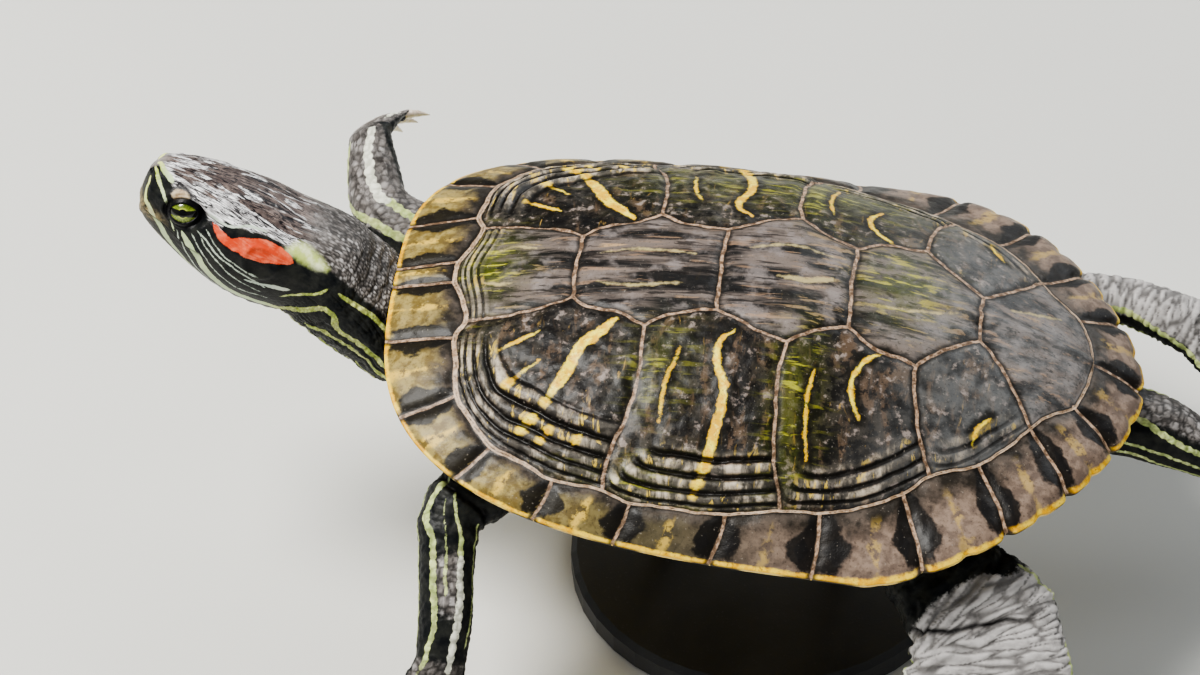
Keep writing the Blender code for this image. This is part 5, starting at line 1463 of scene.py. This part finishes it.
def fused(tubes, voxel):
    """One closed skin round overlapping tubes: points, normals and quads, in mm."""
    P, F = joined(tubes)
    me = bpy.data.meshes.new("fused")
    me.from_pydata(P.tolist(), [], F)
    ob = bpy.data.objects.new("fused", me)
    bpy.context.scene.collection.objects.link(ob)
    rm = ob.modifiers.new("remesh", 'REMESH')
    rm.mode = 'VOXEL'
    rm.voxel_size = voxel
    sm = ob.modifiers.new("ease", 'SMOOTH')
    sm.factor = 0.5
    sm.iterations = 5
    bpy.context.view_layer.update()
    done = bpy.data.meshes.new_from_object(ob.evaluated_get(bpy.context.evaluated_depsgraph_get()))
    n = len(done.vertices)
    co = np.empty(n * 3, np.float32)
    done.vertices.foreach_get("co", co)
    nor = np.empty(n * 3, np.float32)
    done.vertex_normals.foreach_get("vector", nor)
    loops = np.empty(len(done.loops), np.int32)
    done.loops.foreach_get("vertex_index", loops)
    start = np.empty(len(done.polygons), np.int32)
    total = np.empty(len(done.polygons), np.int32)
    done.polygons.foreach_get("loop_start", start)
    done.polygons.foreach_get("loop_total", total)
    faces = [loops[start[total == k][:, None] + np.arange(k)] for k in (3, 4) if (total == k).any()]
    bpy.data.objects.remove(ob, do_unlink=True)
    bpy.data.meshes.remove(me)
    bpy.data.meshes.remove(done)
    return co.reshape(-1, 3).astype(float), nor.reshape(-1, 3).astype(float), faces


def body_skin():
    tubes, frames, tips = [trunk_rings()], {}, {}
    for leg in LEGS:
        t, f, tip = leg_parts(leg)
        tubes += t
        frames[leg[0]], tips[leg[0]] = f, tip
    rows = smooth_table(TAIL, 90)
    # the tip rounds off
    rings, sa, la = rings_along(rows, (0.0, 0.0, 1.0), 40, 2.1)
    tubes.append(rings)
    S = np.concatenate([[0], np.cumsum(np.linalg.norm(np.diff(rows[:, :3], axis=0), axis=1))])
    frames["tail"] = (rows[:, :3], S, sa, la, rows[:, 3], rows[:, 4], rows)
    P, N, faces = fused(tubes, 0.6)
    names = list(frames)
    C = np.vstack([frames[n][0] for n in names])
    who = np.concatenate([np.full(len(frames[n][0]), k) for k, n in enumerate(names)])
    S = np.concatenate([frames[n][1] for n in names])
    SIDE = unit(np.vstack([frames[n][2] for n in names]))
    LIFT = unit(np.vstack([frames[n][3] for n in names]))
    RW = np.concatenate([frames[n][4] for n in names])
    RH = np.concatenate([frames[n][5] for n in names])
    T = np.vstack([unit(np.gradient(frames[n][0], axis=0)) for n in names])
    _, i = nearest(tree_of(C), P, True)
    v = P - C[i]
    s = S[i] + np.sum(v * T[i], axis=1)
    a_s, a_l = np.sum(v * SIDE[i], axis=1), np.sum(v * LIFT[i], axis=1)
    ang = np.degrees(np.arctan2(a_l / RH[i], a_s / RW[i]))
    rel = np.sqrt((a_s / RW[i]) ** 2 + (a_l / RH[i]) ** 2)
    limb = 1 - smooth(rel, 1.25, 1.7)
    who = who[i]
    stripe, white = np.full(len(P), -6.0), np.full(len(P), -6.0)
    fold_in = np.zeros(len(P))
    for k, n in enumerate(names):
        pts, half, pale = [], [], []
        for j, table in enumerate(LIMB_STRIPES[n]):
            t = np.asarray(table, float) * (1, 0.14, 1)
            line = curve_through(t, 0.25, 0.12, 90 + 7 * k + j)
            line[:, 1] /= 0.14
            e = np.arange(len(line)) * 0.25
            bead = 0.62 + 0.44 * np.abs(np.sin(line[:, 0] * math.pi / 2.7 + j)) ** 0.7
            pale.append(np.where((n, j) in PALE_STRIPES, smooth(line[:, 0], *PALE_STRIPES.get((n, j), (0, 1))), 0.0))
            pts.append(on_limb(frames[n], line[:, :2]))
            half.append(0.5 * line[:, 2] * bead * np.sqrt(np.clip(np.minimum(e, e[::-1]) / 1.5 + 0.1, 0, 1)))
        stripe = np.maximum(stripe, inside_distance(P, np.vstack(pts), np.concatenate(half)))
        chosen = np.concatenate(pale) > 0.5
        if chosen.any():
            white = np.maximum(white, inside_distance(P, np.vstack(pts)[chosen], np.concatenate(half)[chosen] + 0.3))
        # deep folds, sunk into the limb and painted near black as shade
        for table in LIMB_FOLDS.get(n, ()):
            t = np.asarray(table, float) * (1, 0.14, 1)
            line = curve_through(t, 0.25, 0.3, 5)
            line[:, 1] /= 0.14
            d = inside_distance(P, on_limb(frames[n], line[:, :2]), np.zeros(len(line)))
            fold_in = np.maximum(fold_in, np.exp(-(d / 0.8) ** 2))
    is_ = [(who == k).astype(float) for k in range(len(names))]
    FL, FR, HL, HR, TL = is_
    away = np.abs(((ang - 90) + 180) % 360 - 180)
    # which skin is grey: top of the tail, the right legs, the broad of the left hind foot
    top = np.where(TL > 0, (38 - away) * 0.14, -4.0)
    top = np.where(HR > 0, (78 - np.abs(((ang - 98) + 180) % 360 - 180)) * 0.12, top)
    top = np.where(FR > 0, (90 - away) * 0.12, top)
    start = np.interp(ang, (28, 68, 92, 114, 128), (40, 40, 42, 44, 47))
    top = np.where(HL > 0, np.minimum((s - start), (86 - away) * 0.16), top)
    patch = 3.6 * (1 - np.sqrt(((s - 60) / 8.0) ** 2 + ((ang - 95) / 30.0) ** 2))
    top = np.where(FL > 0, np.maximum(patch, np.minimum(s - 80, (70 - away) * 0.14)), top)
    top = top * limb - 3.0 * (1 - limb)
    foot_from = {"fore_left": 66, "fore_right": 78, "hind_left": 60, "hind_right": 84}
    foot = sum(is_[k] * smooth(s, foot_from[n], foot_from[n] + 8) for k, n in enumerate(names[:4]))
    # relief
    big = FL * 2.5 + FR * 2.2 + HL * 2.1 + HR * 2.0 + TL * 2.4
    # scales of the hind legs are long folds laid across the limb
    arc = np.radians(ang) * np.sqrt(RW[i] * RH[i])
    sway = 0.22 * (arc - arc.mean()) * HL + 1.0 * value_noise(P, 7.0, 84)
    laid = np.column_stack([(s + sway) / 1.95, arc / 9.5, who * 9.0])
    sheet = (np.abs(HL + HR) > 0) & (rel < 1.7)
    Q = np.where(sheet[:, None], laid * 2.2, P / big[:, None] * 2.2 + who[:, None] * 40)
    f1, f2, tone = cells(Q, 2.2, 71)
    plate = smooth(f2 - f1, 0.0, 0.24 + 0.10 * (FL + FR + TL))
    f1, f2, tone2 = cells(P, 1.05, 75)
    grain = smooth(f2 - f1, 0.02, 0.30)
    warp = value_noise(P, 6.5, 81) * 1.2 + value_noise(P, 2.6, 82) * 0.55
    wave = np.abs(np.sin((s + warp) * math.pi / 3.1)) ** 0.75
    square = np.abs(np.sin(s * math.pi / 3.0 + 0.5 * np.floor(ang / 24))) ** 0.55 \
        * np.abs(np.sin(np.radians(ang) * 7.5)) ** 0.45
    wrinkle = HL * 0.22 + HR * 0.22 + FR * 0.16 + FL * 0.10 + TL * 0.08
    disp = wrinkle * (wave - 0.62) * limb * (1 - 0.45 * foot)
    scale_amp = FL * 0.20 + FR * 0.15 + HL * 0.46 + HR * 0.42 + TL * 0.10
    disp += scale_amp * (plate - 0.7) * limb
    disp += TL * 0.34 * (square - 0.6) * limb * smooth(away, 75, 55)
    disp += 0.08 * (grain - 0.6)
    toe_wave = np.abs(np.sin((s + 0.3 * warp) * math.pi / 1.9)) ** 0.6
    disp += foot * (0.14 * (toe_wave - 0.6))
    slack = np.sin((s + 1.8 * warp) * 2 * math.pi / 7.5)
    disp += 0.45 * slack * (HL + HR + FL * 0.7 + FR * 0.7) * limb * (1 - smooth(s, 44, 58))
    disp -= 1.15 * fold_in * limb
    disp += 0.16 * smooth(stripe, -0.25, 0.3) * limb
    disp += 0.04 * fractal(P, 1.4, 2, 91)
    # painted shade: grooves between scales and folds are darkened in the colour
    groove = np.maximum((1 - wave) * (HL + HR) * 0.35, (1 - plate) * (1 - 0.20 * FR))
    groove = np.maximum(groove * limb, TL * (1 - smooth(square, 0.1, 0.5)) * smooth(away, 75, 55))
    groove = np.clip(np.maximum(groove, foot * (1 - smooth(toe_wave, 0.1, 0.5)) * 0.8), 0, 1)
    P = P + N * (disp - 0.08)[:, None]
    zero = np.zeros(len(P))
    white = np.maximum(white, np.where(FR > 0, np.minimum((s - 84) * 0.3, (62 - away) * 0.08), -6.0))
    # painted_sunlight marks the hind legs, painted paler for the sun on them; their grain tone is raised with it
    attrs = dict(stripe=stripe, white=white, painted_sunlight=(HL * 0.80 + HR * 0.55) * limb, brow=zero - 6, red=zero - 6, lime=zero - 6, top=top, crown=zero, hu=s, hv=ang * 0.14,
                 belly=smooth(-np.sin(np.radians(ang)), 0.55, 0.9) * limb * 0.8, beak=zero,
                 dark=np.clip(fold_in * limb, 0, 1), lid=zero, groove=groove,
                 grain=np.clip(plate * 0.6 + grain * 0.4, 0, 1) * (1 - 0.35 * FR), limb=limb,
                 tone=np.where(HL + HR > 0, 0.55 + 0.45 * tone, tone))
    return P, faces, attrs, tips


def claw_material():
    g = Graph("claw_horn")
    along, low = g.attr("along"), g.attr("low")
    n_mid = g.noise(2.2, 4, 0.6)
    grain = g.noise(0.5, 3, 0.6, (1.0, 0.3, 1.0))
    col = g.mix(g.ramp(n_mid, 0.36, 0.66), (0.500, 0.380, 0.280), (0.780, 0.680, 0.560))
    col = g.mix(g.math('MULTIPLY', g.ramp(along, 0.35, 0.0), 0.55), col, (0.130, 0.090, 0.058))
    col = g.mix(g.ramp(along, 0.62, 1.0), col, (0.860, 0.780, 0.620))
    col = g.mix(g.math('MULTIPLY', g.ramp(low, 0.1, 0.8), 0.65), col, (0.640, 0.500, 0.120))
    nor = g.bump(grain, 0.35, 0.0002)
    return g.finish(col, g.math('MULTIPLY_ADD', n_mid, 0.2, 0.22), nor, Coat_Weight=0.4, Coat_Roughness=0.12,
                    Subsurface_Weight=0.0, IOR=1.5)


def claws(tips, mat):
    around, count = 18, 26
    for leg in LEGS:
        name, claw, clawed = leg[0], leg[8], leg[9]
        tubes, along, low = [], [], []
        for k in clawed:
            end, aim, nor = tips[name][k]
            length, radius, drop, _ = claw
            u = np.linspace(0, 1, count) ** 0.9
            start = end - aim * 1.6
            full = length + 1.6 + GAP
            path = start + aim * (full * u)[:, None] - nor * (drop * np.clip((full * u - 1.6) / length, 0, 1) ** 2)[:, None]
            r = radius * (1 - 0.86 * np.clip((full * u - 1.6) / length, 0, 1) ** 2.0) * 0.95
            r = r * (1 + 0.05 * np.sin(u * 23))
            lift = unit(nor - np.dot(nor, aim) * aim)
            across = np.cross(aim, lift)
            a = np.arange(around) * 2 * math.pi / around
            # flatter below than above
            sa = np.where(np.sin(a) < 0, np.sin(a) * 0.80, np.sin(a) * 1.12)
            ring = (path[:, None] + across * (np.cos(a)[None, :, None] * r[:, None, None])
                    + lift * (sa[None, :, None] * r[:, None, None]))
            tubes.append(ring)
            along += [np.repeat(u, around), [0, 1]]
            low += [np.tile(np.clip(-np.sin(a), 0, 1), count), [0, 0]]
        P, F = joined(tubes)
        ob = make_object(f"claws_{name}", P, [np.array(f) for f in ([x for x in F if len(x) == 4], [x for x in F if len(x) == 3])],
                         mat, dict(along=np.concatenate(along), low=np.concatenate(low)))
        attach(ob, "root")
        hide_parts(*[f"claw_{name}_{k + 1}" for k in clawed])


PLASTRON_SEAMS = (-74.0, -55.0, -26.0, 12.0, 47.0)


def plastron_material():
    g = Graph("plastron_horn")
    seam, spot, edge, ringlet = g.attr("seam"), g.attr("spot"), g.attr("edge"), g.attr("ringlet")
    n_big, n_mid = g.noise(18, 3, 0.5), g.noise(5, 4, 0.6)
    n_fine = g.noise(1.3, 4, 0.6)
    col = g.mix(g.ramp(n_mid, 0.36, 0.66), (0.560, 0.370, 0.070), (0.740, 0.575, 0.200))
    col = g.mix(g.math('MULTIPLY', g.ramp(n_big, 0.48, 0.64), 0.40), col, (0.480, 0.330, 0.100))
    w = g.math('ADD', spot, g.math('MULTIPLY', g.math('SUBTRACT', n_mid, 0.5), 0.55))
    col = g.mix(g.ramp(w, 1.02, 0.88), col, (0.022, 0.024, 0.012))
    col = g.mix(g.math('MULTIPLY', g.ramp(w, 0.66, 0.48), 0.60), col, (0.200, 0.165, 0.050))
    col = g.mix(g.math('MULTIPLY', g.ramp(w, 0.30, 0.16), 0.85), col, (0.030, 0.030, 0.015))
    col = g.mix(g.math('MULTIPLY', g.ramp(ringlet, 0.55, 0.95), 0.30), col, (0.300, 0.195, 0.050))
    s_w = g.math('ADD', seam, g.math('MULTIPLY', g.math('SUBTRACT', n_fine, 0.5), 0.5))
    col = g.mix(g.math('MULTIPLY', g.ramp(s_w, 0.70, 0.25), 0.85), col, (0.060, 0.038, 0.014))
    col = g.mix(g.math('MULTIPLY', g.ramp(n_fine, 0.60, 0.72), 0.25), col, (0.20, 0.14, 0.04))
    nor = g.bump(g.math('ADD', n_fine, g.math('MULTIPLY', g.noise(0.4, 3, 0.6), 0.5)), 0.25, 0.0004)
    return g.finish(col, g.math('MULTIPLY_ADD', n_mid, 0.22, 0.20), nor, Coat_Weight=0.35, Coat_Roughness=0.12, IOR=1.5)


def plastron():
    half_n = 100
    xs = PLASTRON_FRONT + 0.6 + (PLASTRON_REAR - PLASTRON_FRONT - 1.2) * (0.5 - 0.5 * np.cos(np.linspace(0.03, math.pi - 0.03, 210)))
    k = np.sin(np.linspace(-math.pi / 2, math.pi / 2, half_n)) * 0.35 + np.linspace(-1, 1, half_n) * 0.65
    rings = []
    for x in xs:
        w = plastron_half_width(np.array(x)) * 0.997
        y = w * k
        rim = np.sqrt(np.clip((1 - np.abs(k)) * float(w) / 2.0, 0, 1))
        low = plastron_low(x, y)
        thick = PLASTRON_THICK * (1.0 + 0.25 * (np.abs(y) > 50))
        mid = low + thick * 0.5
        lo = np.column_stack([np.full(half_n, x), y, mid - thick * 0.5 * rim])
        hi = np.column_stack([np.full(half_n, x), y, mid + thick * 0.46 * rim])[::-1]
        rings.append(np.vstack([lo, hi]))
    R = np.array(rings)
    around = R.shape[1]
    P = R.reshape(-1, 3)
    x, y = P[:, 0], P[:, 1]
    bend = 0.9 * np.sin(x * 0.09) * 0.4 + 0.25 * np.sin(x * 0.31)
    seam = np.abs(y - bend)
    lean = 0.0016 * y * y
    for sx in PLASTRON_SEAMS:
        seam = np.minimum(seam, np.abs(x - sx - lean * (1 if sx < 0 else -1) - 0.3 * np.sin(y * 0.5)))
    seam = np.where(np.abs(y) > 42, np.minimum(seam, np.abs(np.abs(y) - 46 - 0.3 * np.sin(x * 0.4))), seam)
    bounds = np.array((PLASTRON_FRONT - 6,) + PLASTRON_SEAMS + (PLASTRON_REAR + 4,))
    which = np.clip(np.searchsorted(bounds, x) - 1, 0, len(bounds) - 2)
    cx = 0.5 * (bounds[which] + bounds[which + 1])
    length = bounds[which + 1] - bounds[which]
    wide = np.where(which == 0, 8.0, np.where(which == 5, 17.0, 23.0))
    spot = np.sqrt(((x - cx) / (length * 0.27)) ** 2 + ((np.abs(y) - wide) / (9.0 + 0.05 * length)) ** 2)
    bridge = np.sqrt(((x + 4) / 24.0) ** 2 + ((np.abs(y) - 56) / 5.0) ** 2)
    spot = np.minimum(spot, bridge)
    ringlet = np.abs(np.sin(seam * math.pi / 3.4))
    ringlet = np.where(seam < 12, ringlet, 0) * (1 - smooth(seam, 7, 12))
    below = np.tile(np.concatenate([np.ones(half_n), np.zeros(half_n)]), len(xs))
    disp = -0.40 * np.exp(-(seam / 0.34) ** 2) - 0.07 * ringlet + 0.10 * fractal(P, 9, 3, 101)
    P = P.copy()
    P[:, 2] -= (disp - 0.12) * below
    edge = np.zeros(len(P))
    P = np.vstack([P, R[0].mean(0), R[-1].mean(0)])
    add = lambda v: np.concatenate([v, [v[0], v[-1]]])
    faces = tube_faces(len(xs), around, len(P) - 2, len(P) - 1)
    n = mesh_normals(P, faces[:1])
    if np.mean(n[:half_n * 2 * 100:37, 2] * np.where(below[:half_n * 2 * 100:37] > 0, -1, 1)) < 0:
        faces = [f[:, ::-1] for f in faces]
    ob = make_object("plastron_horn", P, faces, plastron_material(),
                     dict(seam=add(seam), spot=add(spot), edge=add(edge), ringlet=add(ringlet)))
    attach(ob, "root")
    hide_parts("plastron")


def stand_finish():
    g = Graph("stand_paint")
    n_big, n_fine = g.noise(30, 3, 0.5), g.noise(0.7, 3, 0.6)
    col = g.mix(g.ramp(n_big, 0.35, 0.68), (0.022, 0.023, 0.025), (0.036, 0.037, 0.040))
    col = g.mix(g.math('MULTIPLY', g.ramp(n_fine, 0.60, 0.75), 0.5), col, (0.075, 0.077, 0.082))
    nor = g.bump(n_fine, 0.25, 0.00015)
    g.finish(col, g.math('MULTIPLY_ADD', n_big, 0.12, 0.38), nor, Metallic=0.0, IOR=1.5)
    for name in ("stand_base", "stand_rod_front", "stand_rod_rear"):
        ob = bpy.data.objects[name]
        if not ob.material_slots:
            ob.data.materials.append(g.mat)
        for k in range(len(ob.material_slots)):
            ob.material_slots[k].material = g.mat


def whole_skin():
    P1, F1, A1 = head_skin()
    P2, F2, A2, tips = body_skin()
    P = np.vstack([P1, P2])
    faces = list(F1) + [f + len(P1) for f in F2]
    attrs = {k: np.concatenate([A1[k], A2[k]]) for k in A1}
    ob = make_object("skin", P, faces, skin_material(), attrs)
    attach(ob, "root")
    nodes = ["trunk", "neck", "head", "lower_jaw", "tail"]
    for side in ("left", "right"):
        nodes += [f"foreleg_{side}_upper", f"foreleg_{side}_lower", f"forefoot_{side}",
                  f"hindleg_{side}_upper", f"hindleg_{side}_lower", f"hindfoot_{side}"]
    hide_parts(*nodes)
    return tips


def camera_and_light():
    """Camera above the animal's left side, at the fitted angle and distance."""
    rad = math.radians
    D, az, el, roll, s, cx, cy = 1400.0, rad(-0.25), rad(43.5), rad(8.13), 3.7735, 767.3, 339.7
    back = np.array([math.sin(az) * math.cos(el), -math.cos(az) * math.cos(el), math.sin(el)])
    right = np.array([math.cos(az), math.sin(az), 0.0])
    up = np.cross(back, right)
    R = np.array([math.cos(roll) * right + math.sin(roll) * up,
                  -math.sin(roll) * right + math.cos(roll) * up, back])
    f = s * D
    q = unit(np.array([(cx - 600) / f, (337.5 - cy) / f, -1.0]))
    z = np.array([0, 0, -1.0])
    v = np.cross(z, q)
    K = np.array([[0, -v[2], v[1]], [v[2], 0, -v[0]], [-v[1], v[0], 0]])
    Q = np.eye(3) + K + K @ K / (1 + z @ q)
    Rc = Q @ R
    c, sn = math.cos(rad(PITCH)), math.sin(rad(PITCH))
    T = np.array([[c, 0, sn], [0, 1, 0], [-sn, 0, c]])
    pos = T @ (R[2] * D) + np.array([0, 0, LIFT])
    Rw = Rc @ T.T
    cam_data = bpy.data.cameras.new("view_camera")
    cam = bpy.data.objects.new("view_camera", cam_data)
    bpy.context.scene.collection.objects.link(cam)
    cam_data.sensor_width = 36.0
    cam_data.lens = f / 1200 * 36.0
    cam_data.clip_start, cam_data.clip_end = 0.05, 20.0
    m = Matrix.Identity(4)
    for i in range(3):
        for j in range(3):
            m[i][j] = Rw[j][i]
        m[i][3] = pos[i] * MM
    cam.matrix_world = m
    bpy.context.scene.camera = cam

    def area(name, loc, target, size, energy, colour):
        d = bpy.data.lights.new(name, 'AREA')
        d.shape = 'RECTANGLE'
        d.size, d.size_y = size
        d.energy = energy
        d.color = colour
        o = bpy.data.objects.new(name, d)
        bpy.context.scene.collection.objects.link(o)
        o.location = loc
        o.visible_glossy = name != "fill_light"
        o.rotation_euler = (Vector(target) - Vector(loc)).to_track_quat('-Z', 'Y').to_euler()

    area("key_light", (-0.60, -0.10, 1.25), (0, 0, 0.08), (0.50, 0.50), 32.0, (1.0, 0.98, 0.94))
    area("sky_light", (0.60, 1.05, 0.80), (0.03, 0, 0.08), (1.1, 0.8), 10.0, (0.93, 0.97, 1.0))
    area("fill_light", (0.2, -1.3, 0.45), (0, 0, 0.07), (1.4, 0.8), 6.0, (1.0, 0.99, 0.97))

    world = bpy.data.worlds.new("studio")
    bpy.context.scene.world = world
    world.use_nodes = True
    bg = world.node_tree.nodes["Background"]
    bg.inputs[0].default_value = (0.86, 0.90, 0.95, 1)
    bg.inputs[1].default_value = 0.15
    bpy.context.scene.view_settings.look = 'AgX - Medium High Contrast'

    floor_mat = Graph("pale_floor")
    n = floor_mat.noise(120, 2, 0.5)
    col = floor_mat.mix(n, (0.60, 0.60, 0.57), (0.66, 0.66, 0.63))
    floor_mat.finish(col, 0.7)
    me = bpy.data.meshes.new("floor")
    e = 4.0
    me.from_pydata([(-e, -e, -0.0002), (e, -e, -0.0002), (e, e, -0.0002), (-e, e, -0.0002)], [], [(0, 1, 2, 3)])
    me.materials.append(floor_mat.mat)
    fl = bpy.data.objects.new("floor", me)
    bpy.context.scene.collection.objects.link(fl)


# ------------------------------------------------------------------ put together
camera_and_light()
carapace()
plastron()
toe_tips = whole_skin()
claws(toe_tips, claw_material())
stand_finish()
eyes(eye_material())
